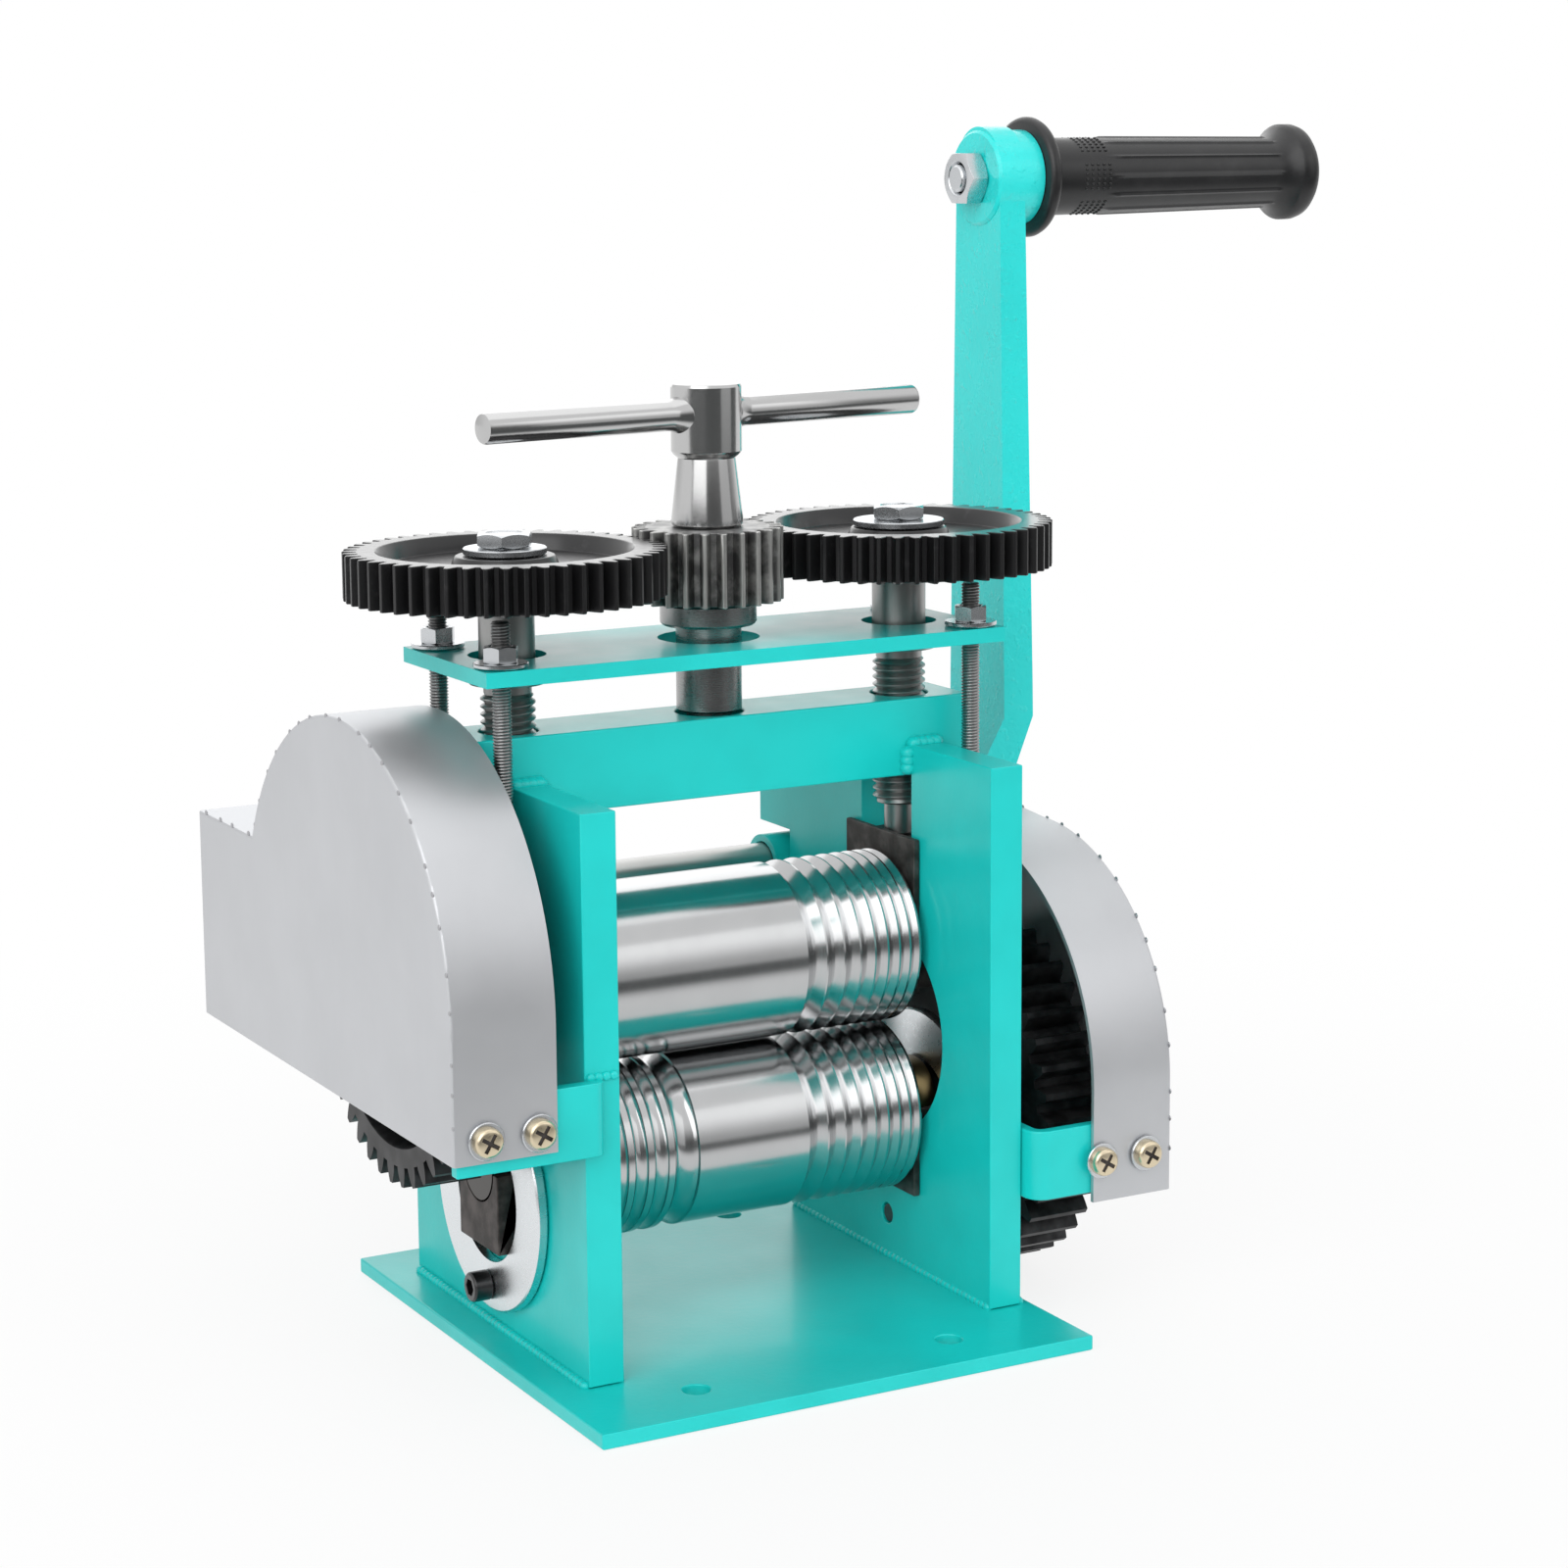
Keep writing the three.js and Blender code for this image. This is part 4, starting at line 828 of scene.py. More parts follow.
for node, side, pivot, phase in (("left_pinion", -1, SHAFT_AXIS, 0),
                                 ("right_pinion", 1, SHAFT_AXIS, 0),
                                 ("idler_gear", 1, IDLER_AXIS, IDLER_PHASE)):
    wheel = gear(PINION_TEETH, DRIVE_MODULE, phase, DRIVE_PLAY, GEAR_WIDTH, ())
    facing(wheel, side, side * GEAR_IN, pivot)
    finished(wheel, "cut_" + node, WORN_GEAR, node, soften=0.3, segments=1)

# %% Top gears and centre gear
TOP_GEAR_STEPS = ((4.6, 0), (0.3, -0.3), (1.6, -3.9), (17.0, 0), (0.9, 2.2), (0.4, 0.4))

for node, screw, toward in (("left_top_gear", "left_screw_turn", math.pi),
                            ("right_top_gear", "right_screw_turn", 0)):
    low, high = cad_box(node)
    phase = mesh_phase(toward, CENTRE_TEETH, 0, TOP_TEETH)
    wheel = gear(TOP_TEETH, TOP_MODULE, phase, TOP_PLAY, high.z - low.z, TOP_GEAR_STEPS)
    bmesh.ops.translate(wheel, vec=(PIVOT[screw].x, 0, low.z), verts=wheel.verts)
    finished(wheel, "cut_" + node, BLACK, node, soften=0.22, segments=1)

low, high = cad_box("centre_gear")
wheel = gear(CENTRE_TEETH, TOP_MODULE, 0, TOP_PLAY, high.z - low.z, ())
bmesh.ops.translate(wheel, vec=(0, 0, low.z), verts=wheel.verts)
finished(wheel, "cut_centre_gear", STREAKED_STEEL, "centre_gear", soften=0.5, segments=2)

# %% [markdown]
# ## Rings, blocks and bushes
# The keeper rings are turned and plated, so the lathe's marks run round them. The bearing blocks
# are sawn and milled from bar and left oily. Each lower block has a plain square neck that reaches
# through its ring.

# %% Keeper rings with their socket screws
RING_BORE = 18
RING_EDGE = 0.5
KEEPER_HEAD, KEEPER_SHANK, KEEPER_START = 5, 2.4, 53.5
SOCKET_SHARE, SOCKET_DEPTH, HEAD_EDGE = 0.58, 0.55, 0.5


def socket_head(radius, height, tip, side, spot):
    """A socket-head cap screw's head on X: a cylinder with a hexagon socket."""
    foot = tip - side * height
    profile = [(0, foot), (radius, foot), (radius, tip - side * HEAD_EDGE), (radius - HEAD_EDGE, tip),
               (0, tip)]
    head = turned(profile, "X", spot, 48)
    socket = arc((spot.y, spot.z), radius * SOCKET_SHARE, 0, 300, 5)
    return carved(head, plate(socket, "X", tip - side * SOCKET_DEPTH * height, tip + side * PAST))


def keeper(side, hand):
    node = hand + "_keeper_ring"
    low, high, centre = cad_span(node)
    radius = (high.z - low.z) / 2
    profile = [(RING_BORE, low.x), *eased(radius, low.x, high.x, RING_EDGE),
               (RING_BORE + RING_EDGE, high.x), (RING_BORE, high.x - RING_EDGE), (RING_BORE, low.x)]
    finished(turned(profile, "X", centre, 128), "turned_" + node, RING_ZINC, node, soften=0.15)
    node = hand + "_keeper_screw"
    low, high, spot = cad_span(node)
    tip = high.x if side > 0 else low.x
    head = socket_head((high.z - low.z) / 2, KEEPER_HEAD, tip, side, spot)
    shank = rod(KEEPER_SHANK, *sorted((side * KEEPER_START, tip - side * KEEPER_HEAD)), "X", spot, 24)
    finished(together(head, shank), "machined_" + node, BLACK, node, soften=0.2)


for side, hand in ((-1, "left"), (1, "right")):
    keeper(side, hand)

# %% [markdown]
# A bearing block is a bar with a flange inside the plate, which keeps it from sliding out. Lower
# blocks have a neck outside, and upper ones a yoke that the studs pull on. All four take a bush.

# %% Bearing blocks
FLANGE_OUT, FLANGE_HALF, FLANGE_LIP, BODY_HALF = 52.8, 17.75, 1.9, 12.5
BUSH_SEAT, JOURNAL_HOLE, BUSH_END = 11.3, 9.2, 62.3
NECK_HALF, NECK_FLOOR = 11.8, 27
YOKE_RISE, YOKE_DROP, YOKE_GAP = 17.8, 10.2, 0.3


def centred_bar(side, reach, half, floor, top):
    """A block between two places along X on one side of the mill, centred on Y."""
    start, end = on_side(side, *reach)
    return block((start, -half, floor), (end, half, top))


def bearing_block(node, side, axis):
    low, high = cad_box(node)
    near, far = sorted((abs(low.x), abs(high.x)))
    if axis == LOWER_AXIS:
        body_top = high.z
        outer = centred_bar(side, (PLATE_IN, far), NECK_HALF, NECK_FLOOR, body_top)
    else:
        body_top = high.z - FLANGE_LIP
        reach = (PLATE_OUT + YOKE_GAP, far)
        outer = centred_bar(side, reach, high.y, axis.z - YOKE_DROP, axis.z + YOKE_RISE)
        outer = carved(outer, centred_bar(side, (near, far), BODY_HALF, low.z, body_top), "UNION")
    flange = centred_bar(side, (near, FLANGE_OUT), FLANGE_HALF, low.z, high.z)
    shape = centred_bar(side, (near, PLATE_OUT), BODY_HALF, low.z, body_top)
    for more in (flange, outer):
        shape = carved(shape, more, "UNION")
    for radius, end in ((BUSH_SEAT, BUSH_END), (JOURNAL_HOLE, far + PAST)):
        shape = carved(shape, rod(radius, *on_side(side, near - PAST, end), "X", axis, 64))
    finished(shape, "milled_" + node, BLOCK_IRON, node, soften=0.45, flat=True)


for side, hand in ((-1, "left"), (1, "right")):
    bearing_block("lower_" + hand + "_block", side, LOWER_AXIS)
    bearing_block("upper_" + hand + "_block", side, UPPER_AXIS)

# %% Bushes
BUSH_BORE, BUSH_RADIUS, BUSH_EDGE, BUSH_LEAD = 9.1, 11.2, 0.2, 0.3

for row, axis in (("lower_", LOWER_AXIS), ("upper_", UPPER_AXIS)):
    for hand in ("left", "right"):
        node = row + hand + "_bush"
        low, high = cad_box(node)
        face = BUSH_RADIUS - BUSH_EDGE
        profile = [(BUSH_BORE, low.x), (face, low.x), (BUSH_RADIUS, low.x + BUSH_LEAD),
                   (BUSH_RADIUS, high.x - BUSH_LEAD), (face, high.x), (BUSH_BORE, high.x),
                   (BUSH_BORE, low.x)]
        finished(turned(profile, "X", axis, 72), "turned_" + node, BRONZE, node, soften=0)

# %% [markdown]
# ## Fasteners
# Threads are real helices: one V rib is spun while it climbs, and its ends run out into the core,
# as a die leaves them. Hexagons are cut from a prism by a double cone, which gives the curved
# chamfer that every bought bolt has.

# %% Threads
CREST = (0.42, 0.58)    # where the flat top of a thread starts and ends, in pitches


def thread(radius, depth, pitch, start, end, centre, around=24):
    bm = bmesh.new()
    core = radius - depth
    crest = [(radius, share * pitch) for share in CREST]
    rib = [(core, 0), *crest, (core, pitch)]
    verts = [bm.verts.new((centre.x + r, centre.y, start - pitch + z)) for r, z in rib]
    edges = [bm.edges.new(pair) for pair in zip(verts, verts[1:])]
    turns = math.ceil((end - start) / pitch) + 2
    bmesh.ops.spin(bm, geom=verts + edges, cent=(centre.x, centre.y, 0), axis=AXES["Z"],
                   dvec=(0, 0, pitch / around), angle=FULL_TURN * turns, steps=turns * around)
    for vert in bm.verts:
        height = min(max(vert.co.z, start), end)
        most = core + max(0, min(height - start, end - height))
        flat = Vector((vert.co.x - centre.x, vert.co.y - centre.y))
        flat *= min(1, most / flat.length)
        vert.co = (centre.x + flat.x, centre.y + flat.y, height)
    bmesh.ops.remove_doubles(bm, verts=bm.verts, dist=1e-3)
    rims = [edge for edge in bm.edges if edge.is_boundary]
    bmesh.ops.holes_fill(bm, edges=rims, sides=0)
    return bm


# %% Hexagons and washers
CHAMFER, CONE_OVER = 0.6, 0.02  # height of a hexagon's chamfer, and how far its cone passes a corner


def hexagon(across, low, high, axis, centre):
    corner = across / math.sqrt(3)
    rise, wide = (corner - across / 2) * CHAMFER, corner + CONE_OVER
    flat = {"X": (centre.y, centre.z), "Y": (centre.x, centre.z), "Z": (centre.x, centre.y)}[axis]
    prism = plate(arc(flat, corner, 0, 300, 5), axis, low, high)
    cone = turned([(0, low), (across / 2, low), (wide, low + rise), (wide, high - rise),
                   (across / 2, high), (0, high)], axis, centre, 60)
    return carved(prism, cone, "INTERSECT")


def washer(bore, radius, low, high, axis, centre, edge=0.2):
    profile = [(bore, low), *eased(radius, low, high, edge), (bore, high), (bore, low)]
    return turned(profile, axis, centre, 64)


# %% [markdown]
# A bought nut has a bore that opens at its mouth, so that a stud finds its way in. Nut and washer
# are one CAD node, so they are one piece here too, made of two shapes that only touch.

# %% Studs with their nuts and washers
STUD_RADIUS, STUD_PITCH, STUD_DEPTH = 2.45, 0.8, 0.4
NUT_ACROSS, NUT_BORE, STUD_WASHER = 8, 2.6, 1.1
MOUTH_RADIUS, MOUTH_DEPTH, MOUTH_OVER = 3.2, 0.5, 0.1


def stud(node):
    low, high, spot = cad_span(node)
    rope = thread(STUD_RADIUS, STUD_DEPTH, STUD_PITCH, low.z, high.z, spot, 12)
    finished(rope, "threaded_" + node, THREAD_ZINC, node, soften=0, smooth=50)
    low, high = cad_box(node + "_nut")
    seat, top = low.z + STUD_WASHER, high.z
    disc = washer(NUT_BORE, (high.x - low.x) / 2, low.z, seat, "Z", spot)
    bore = [(0, seat - PAST), (NUT_BORE, seat - PAST), (NUT_BORE, top - MOUTH_DEPTH),
            (MOUTH_RADIUS, top + MOUTH_OVER), (0, top + MOUTH_OVER)]
    nut = carved(hexagon(NUT_ACROSS, seat, top, "Z", spot), turned(bore, "Z", spot, 24))
    finished(together(disc, nut), "pressed_" + node + "_nut", ZINC, node + "_nut", soften=0.1)


for hand in ("left", "right"):
    for end in ("front", "back"):
        stud(hand + "_" + end + "_stud")

# %% Top washers and bolts
HEX_ACROSS, HEX_HEIGHT, TOP_HEX_HEIGHT = 13, 5.3, 3.4
BOLT_RADIUS, WASHER_BORE, BOLT_LAP = 3.9, 4.2, 0.5
DISH_RADIUS, DISH_RIM, DISH_DEPTH, DISH_OVER = 4.6, 5.2, 0.35, 0.2

for hand in ("left", "right"):
    node = hand + "_top_washer"
    low, high, spot = cad_span(node)
    disc = washer(WASHER_BORE, (high.x - low.x) / 2, low.z, high.z, "Z", spot)
    finished(disc, "pressed_" + node, ZINC, node, soften=0)
    node = hand + "_top_bolt"
    low, high = cad_box(node)
    seat, floor = high.z - TOP_HEX_HEIGHT, high.z - DISH_DEPTH
    head = hexagon(HEX_ACROSS, seat, high.z, "Z", spot)
    dish = turned([(0, floor), (DISH_RADIUS, floor), (DISH_RIM, high.z + DISH_OVER),
                   (0, high.z + DISH_OVER)], "Z", spot, 48)
    shank = rod(BOLT_RADIUS, low.z, seat + BOLT_LAP, "Z", spot, 32)
    finished(together(carved(head, dish), shank), "forged_" + node, ZINC, node, soften=0.15)

# %% Bolts in the shaft ends
END_BORE, END_WASHER = 4.1, 1.8

for node in ("left_gear_bolt", "right_gear_bolt", "crank_bolt"):
    low, high, spot = cad_span(node)
    side = math.copysign(1, spot.x)
    foot, tip = sorted((abs(low.x), abs(high.x)))
    seat = tip - HEX_HEIGHT
    head = hexagon(HEX_ACROSS, *on_side(side, seat, tip), "X", spot)
    disc = washer(END_BORE, (high.z - low.z) / 2, *on_side(side, seat, seat - END_WASHER), "X", spot)
    shank = rod(BOLT_RADIUS, *on_side(side, foot, seat + LAP), "X", spot, 32)
    finished(together(head, disc, shank), "forged_" + node, ZINC, node, soften=0.15)

# %% [markdown]
# The cover screws have cross recesses. A recess is hard to see in bare zinc, so its shade is painted
# in: a dark piece of its own, the same two crossed bars that cut the recess, a little lower.

# %% Cross-head screws and their pale washers on the covers
PAN_WASHER, PAN_HOLE, PAN_SHANK, PAN_LAP, PAN_RISE = 0.9, 2.1, 1.9, 0.2, 2.2
CROWN = ((0, 0), (2.8, 0.05), (3.3, 0.3), (3.6, 0.8), (3.7, 1.3), (3.7, PAN_RISE), (0, PAN_RISE))
CROSS_TURN, CROSS_HALF, CROSS_WIDE, CROSS_DEEP = math.radians(32), 2.5, 1.0, 1.5
SHADE_FILL_LEVEL = 0.35


def cross(spot, top, floor):
    """Two bars at right angles, like the tip of the driver."""
    bars = []
    for turn in (CROSS_TURN, CROSS_TURN + math.pi / 2):
        bars.append(block((spot.x - CROSS_HALF, top, spot.z - CROSS_WIDE / 2),
                          (spot.x + CROSS_HALF, floor, spot.z + CROSS_WIDE / 2)))
        bmesh.ops.rotate(bars[-1], cent=spot, matrix=Matrix.Rotation(turn, 3, "Y"),
                         verts=bars[-1].verts)
    return bars


def pan_screw(node):
    low, high, spot = cad_span(node)
    front, seat, floor = low.y, low.y + PAN_RISE, low.y + CROSS_DEEP
    head = turned([(radius, front + depth) for radius, depth in CROWN], "Y", spot, 48)
    for slot in cross(spot, front - PAST, floor):
        head = carved(head, slot)
    # painted shade: a dark piece fills each cross recess a little below its mouth, where there is only shade
    recess_shade = carved(*cross(spot, front + SHADE_FILL_LEVEL, floor), "UNION")
    finished(recess_shade, "grease_in_" + node, BLOCK_IRON, body=BODY_OF[node], slot="dark_iron",
             soften=0.1)
    shank = rod(PAN_SHANK, seat - PAN_LAP, high.y, "Y", spot, 20)
    finished(together(head, shank), "pressed_" + node, YELLOW_ZINC, node, soften=0.12)
    disc = washer(PAN_HOLE, (high.x - low.x) / 2, seat, seat + PAN_WASHER, "Y", spot)
    finished(disc, "washer_of_" + node, ZINC, body=BODY_OF[node], slot="zinc", soften=0)


for hand in ("left", "right"):
    for row in ("outer", "inner"):
        pan_screw(hand + "_cover_screw_" + row)

# %% [markdown]
# ## Covers and brackets
# The covers are satin sheet: a flat side with a bent strip spot-welded round its edge. The small
# welds are left proud, so they are modelled as flat drops along the seam. The brackets are strips
# bent cold and painted with the frame.

# %% Cover shells
SHEET_THICK, SHEET_BEND, SHAFT_HOLE = 1.2, 0.9, 9
LEFT_DOME, RIGHT_DOME = 67.4, 60.5
LEFT_TAIL_TOP, RIGHT_TAIL_FRONT, RIGHT_DOME_DROP = 124, 38, 3
WELD_STEPS = (8.2, 11.4, 9.1, 12.6, 7.4)
WELD_SIZE, WELD_RISE, WELD_INSET = 0.8, 0.3, 0.013


def along(points, steps):
    """Points on a chain of straight pieces, with the steps between them taken in turn."""
    steps = cycle(steps)
    spots, left = [], next(steps) / 2
    for a, b in zip(points, points[1:]):
        a, b = Vector(a), Vector(b)
        length = (b - a).length
        while left < length:
            spots.append(a.lerp(b, left / length))
            left += next(steps)
        left -= length
    return spots


def drops(places, stretch):
    """Small flattened drops of weld, a few dozen faces each."""
    bm = bmesh.new()
    for place in places:
        made = bmesh.ops.create_icosphere(bm, subdivisions=2, radius=1)["verts"]
        bmesh.ops.scale(bm, vec=stretch, verts=made)
        bmesh.ops.translate(bm, vec=place, verts=made)
    return bm


# %% A cover from its outline


def sheet_cover(node, side, outline):
    low, high = cad_box(node)
    skin, rim = (low.x, high.x) if side < 0 else (high.x, low.x)
    shell = plate(outline, "X", low.x, high.x)
    opened = [face for face in shell.faces if abs(face.calc_center_median().z - low.z) < NEAR
              or abs(face.calc_center_median().x - rim) < NEAR]
    bmesh.ops.delete(shell, geom=opened, context="FACES_ONLY")
    seam = [edge for edge in shell.edges if len(edge.link_faces) == 2
            and all(abs(vert.co.x - skin) < NEAR for vert in edge.verts)]
    bmesh.ops.bevel(shell, geom=seam, offset=SHEET_BEND, segments=3, profile=0.5, affect="EDGES",
                    material=-1)
    bmesh.ops.recalc_face_normals(shell, faces=shell.faces)
    bmesh.ops.solidify(shell, geom=shell.faces, thickness=SHEET_THICK)
    if side > 0:
        hole = rod(SHAFT_HOLE, skin - SHEET_THICK - PAST, skin + PAST, "X", SHAFT_AXIS, 64)
        shell = carved(shell, hole)
    finished(shell, "bent_" + node, SHEET, node, soften=0.12, segments=1, smooth=30)
    centre = sum((Vector(point) for point in outline), Vector((0, 0))) / len(outline)
    seam = [point.lerp(centre, WELD_INSET) for point in along(outline[1:], WELD_STEPS)]
    spots = [Vector((skin - side * WELD_RISE, *point)) for point in seam]
    finished(drops(spots, (WELD_RISE, WELD_SIZE, WELD_SIZE)), "spot_welds_of_" + node, WELD_SPOT,
             body=BODY_OF[node], slot="cover_sheet", soften=0)


# %% Left cover, with a tail, and right cover, with a flat top
low, high = cad_box("left_gear_cover")
centre = (low.y + LEFT_DOME, high.z - LEFT_DOME)
start = math.degrees(math.asin((LEFT_TAIL_TOP - centre[1]) / LEFT_DOME))
outline = [(high.y, low.z), (high.y, LEFT_TAIL_TOP)] + arc(centre, LEFT_DOME, start, 180, 64)
sheet_cover("left_gear_cover", -1, outline + [(low.y, low.z)])

low, high = cad_box("right_gear_cover")
centre = (low.y + RIGHT_DOME, high.z - RIGHT_DOME_DROP - RIGHT_DOME)
outline = [(high.y, low.z), (high.y, high.z), (RIGHT_TAIL_FRONT, high.z)]
outline += arc(centre, RIGHT_DOME, 90, 180, 48) + [(low.y, low.z)]
sheet_cover("right_gear_cover", 1, outline)

# %% Brackets
LEFT_BEND = 3
low, high = cad_box("left_cover_bracket")
outline = [(low.x, high.y), (low.x, low.y)]
outline += arc((high.x - LEFT_BEND, low.y + LEFT_BEND), LEFT_BEND, 270, 360, 10) + [(high.x, high.y)]
finished(plate(outline, "Z", low.z, high.z), "painted_left_cover_bracket", PAINT,
         "left_cover_bracket", soften=0.6, segments=3)

STRIP, BEND = 3.2, 5
low, high = cad_box("right_cover_bracket")
bend = (low.x + BEND, low.y + BEND)
outline = [(low.x, high.y)] + arc(bend, BEND, 180, 270, 10) + [(high.x, low.y), (high.x, low.y + STRIP)]
outline += arc(bend, BEND - STRIP, 270, 180, 10) + [(low.x + STRIP, high.y)]
finished(plate(outline, "Z", low.z, high.z), "painted_right_cover_bracket", PAINT,
         "right_cover_bracket", soften=0.5, segments=2, smooth=40)

# %% [markdown]
# ## Shafts, screws and spindle
# These are turned bar. The countershaft and spindle are left bright, and the screws are dark with
# a coarse thread that shows above and below the beam.

# %% Countershaft and idler axle
SHAFT_EASE, AXLE_EASE = 0.6, 0.5
AXLE_RADIUS, AXLE_COLLAR = 6, 9
AXLE_STEPS = (62.9, 73.7, 92.3)     # where the collar starts, where it ends, where the head starts

low, high = cad_box("countershaft")
side = eased((high.z - low.z) / 2, low.x, high.x, SHAFT_EASE)
finished(turned([(0, low.x), *side, (0, high.x)], "X", SHAFT_AXIS, 64), "turned_countershaft",
         SHAFT_STEEL, "countershaft", soften=0)

low, high = cad_box("idler_axle")
thin, thick = AXLE_RADIUS, AXLE_COLLAR
start, end, head = AXLE_STEPS
profile = [(0, low.x), (thin, low.x), (thin, start), (thick, start), (thick, end), (thin, end),
           (thin, head), (thick, head), (thick, high.x - AXLE_EASE), (thick - AXLE_EASE, high.x),
           (0, high.x)]
finished(turned(profile, "X", IDLER_AXIS, 64), "turned_idler_axle", SHAFT_STEEL, "idler_axle",
         soften=0.2)

# %% [markdown]
# Each screw ends below in a plain pin that turns in its bearing block. Above the thread it has a
# neck, a collar under the lifting plate and a stub that carries the top gear.

# %% Screw-down screws
SCREW_RADIUS, SCREW_PITCH, SCREW_DEPTH = 7, 2, 1.1
SCREW_PIN, PIN_LENGTH, RIM_EASE = 4, 8.6, 0.5
SCREW_CORE, SCREW_NECK, NECK_LENGTH = 5.6, 6.1, 2.4
COLLAR_TOP, COLLAR_THICK, COLLAR_FOOT, COLLAR_RADIUS, COLLAR_RIM = 174.6, 3, 9.6, 10.9, 1.4
STUB_RADIUS, STUB_TOP, TIP_RADIUS = 7.1, 193.2, 5.4


def screw(node):
    low, high, spot = cad_span(node)
    collar = COLLAR_TOP - COLLAR_THICK
    start, end = low.z + PIN_LENGTH, collar - NECK_LENGTH
    rope = thread(SCREW_RADIUS, SCREW_DEPTH, SCREW_PITCH, start, end, spot, 36)
    pin = turned([(0, low.z), (SCREW_PIN - RIM_EASE, low.z), (SCREW_PIN, low.z + RIM_EASE),
                  (SCREW_PIN, start + LAP), (0, start + LAP)], "Z", spot, 40)
    head = turned([(0, end - LAP), (SCREW_CORE, end - LAP), (SCREW_CORE, end), (SCREW_NECK, end),
                   (SCREW_NECK, collar), (COLLAR_FOOT, collar), (COLLAR_RADIUS, COLLAR_TOP - COLLAR_RIM),
                   (COLLAR_RADIUS, COLLAR_TOP), (STUB_RADIUS, COLLAR_TOP),
                   (STUB_RADIUS, STUB_TOP - RIM_EASE), (STUB_RADIUS - RIM_EASE, STUB_TOP),
                   (TIP_RADIUS, STUB_TOP), (TIP_RADIUS, high.z), (0, high.z)], "Z", spot, 72)
    finished(together(rope, pin, head), "threaded_" + node, SCREW_STEEL, node, soften=0, smooth=40)


screw("left_screw")
screw("right_screw")

# %% Spindle, with a scribed line and the collar that the centre gear rests on
SPINDLE_PIN, SPINDLE_RADIUS, SPINDLE_COLLAR, SPINDLE_STUB = 5.9, 8.5, 12.5, 6.5
SPINDLE_STEPS = (159.8, 182.2, 188.2)   # where the pin ends, where the collar starts and ends
LINE_LOW, LINE_HIGH, LINE_DEPTH, LINE_SLOPE = 174.6, 175.9, 0.4, 0.3
COLLAR_EASE = 0.7

low, high, spot = cad_span("spindle")
foot, start, end = SPINDLE_STEPS
full, scribed = SPINDLE_RADIUS, SPINDLE_RADIUS - LINE_DEPTH
profile = [(0, low.z), (SPINDLE_PIN, low.z), (SPINDLE_PIN, foot), (full - RIM_EASE, foot),
           (full, foot + RIM_EASE), (full, LINE_LOW), (scribed, LINE_LOW + LINE_SLOPE),
           (scribed, LINE_HIGH - LINE_SLOPE), (full, LINE_HIGH), (full, start),
           *eased(SPINDLE_COLLAR, start, end, COLLAR_EASE), (SPINDLE_STUB, end),
           (SPINDLE_STUB, high.z), (0, high.z)]
finished(turned(profile, "Z", spot, 96), "turned_spindle", SPINDLE_STEEL, "spindle", soften=0.1)

# %% [markdown]
# ## T handle
# The handle is one polished forging. A tapered neck rises to a short round head, and the bar
# swells into the head on both sides. Both are turned and then joined. The swell is drawn in the
# bar's own profile, because a bevel along the join would pull the thin bar out of shape.

# %% Neck, head and bar
NECK_TOP, NECK_FOOT = 7.4, 9.2
NECK = ((-0.4, 0), (0, 0.4), (0, 2))                    # from its foot upwards
HEAD_HEIGHT, HEAD_RADIUS = 18.2, 9.1
SHOULDER = ((0.1, -1.6), (0, -1.0))                     # under the head, on the neck
HEAD_FOOT, HEAD_CROWN = ((-0.5, 0), (0, 0.8)), ((0, -1), (-0.35, -0.3), (-1, 0))
BAR_RADIUS, BAR_HALF, BAR_RISE, BAR_TURN = 3.9, 67.5, 1.2, math.radians(8)
BAR_END = ((0, -0.8), (-0.25, -0.25), (-0.8, 0))
SWELL_START, SWELL_LENGTH, SWELL_RISE, SWELL_STEPS = 7.5, 5, 1.4, 10


def shifted(radius, place, moves):
    """Points of a profile near one corner, as moves from it."""
    return [(radius + out, place + on) for out, on in moves]


def t_handle():
    low, high = cad_box("t_handle")
    floor = high.z - HEAD_HEIGHT
    profile = shifted(NECK_FOOT, low.z, NECK) + shifted(NECK_TOP, floor, SHOULDER)
    profile += shifted(HEAD_RADIUS, floor, HEAD_FOOT) + shifted(HEAD_RADIUS, high.z, HEAD_CROWN)
    centre = Vector((0, 0, floor + HEAD_HEIGHT / 2 + BAR_RISE))
    neck = turned([(0, low.z), *profile, (0, high.z)], "Z", centre, 96)
    half = []
    for step in range(SWELL_STEPS + 1):
        share = step / SWELL_STEPS
        rise = SWELL_RISE * (1 - math.sin(share * math.pi / 2))
        half.append((BAR_RADIUS + rise, SWELL_START + SWELL_LENGTH * share))
    half += shifted(BAR_RADIUS, BAR_HALF, BAR_END) + [(0, BAR_HALF)]
    bar = turned([(radius, -x) for radius, x in reversed(half)] + half, "X", centre, 64)
    turn = Matrix.Rotation(BAR_TURN, 3, "Z")
    bmesh.ops.rotate(bar, cent=centre, matrix=turn, verts=bar.verts)
    finished(carved(neck, bar, "UNION"), "forged_t_handle", CHROME, "t_handle", soften=0, smooth=25)


t_handle()

# %% [markdown]
# ## Crank and grip
# The arm is a casting. Its outline from the front and its bend from the side are two plates, and
# what both cover is the arm. The edges are rounded well, because sand moulds leave no sharp ones.

# %% Crank arm
ARM_FACE, ARM_TOP_THICK, ARM_FOOT_THICK = 120.6, 8.2, 9.8
ARM_TOP_HALF, ARM_FOOT_HALF, ARM_FOOT_RISE, ARM_TOP_RISE = 11.4, 14.6, 48, 3
HUB_NEAR, HUB_FAR, HUB_RADIUS, HUB_BORE = 107.8, 121.3, 15, 6.9
BEND_TOP, BEND_FOOT, BAR_WIDE = 38, 16, 20
EYE_RADIUS, EYE_NEAR, EYE_FAR, EYE_BORE, EYE_EASE = 13.4, 119.6, 134.6, 4.3, 0.8
PAST_ARM = 12


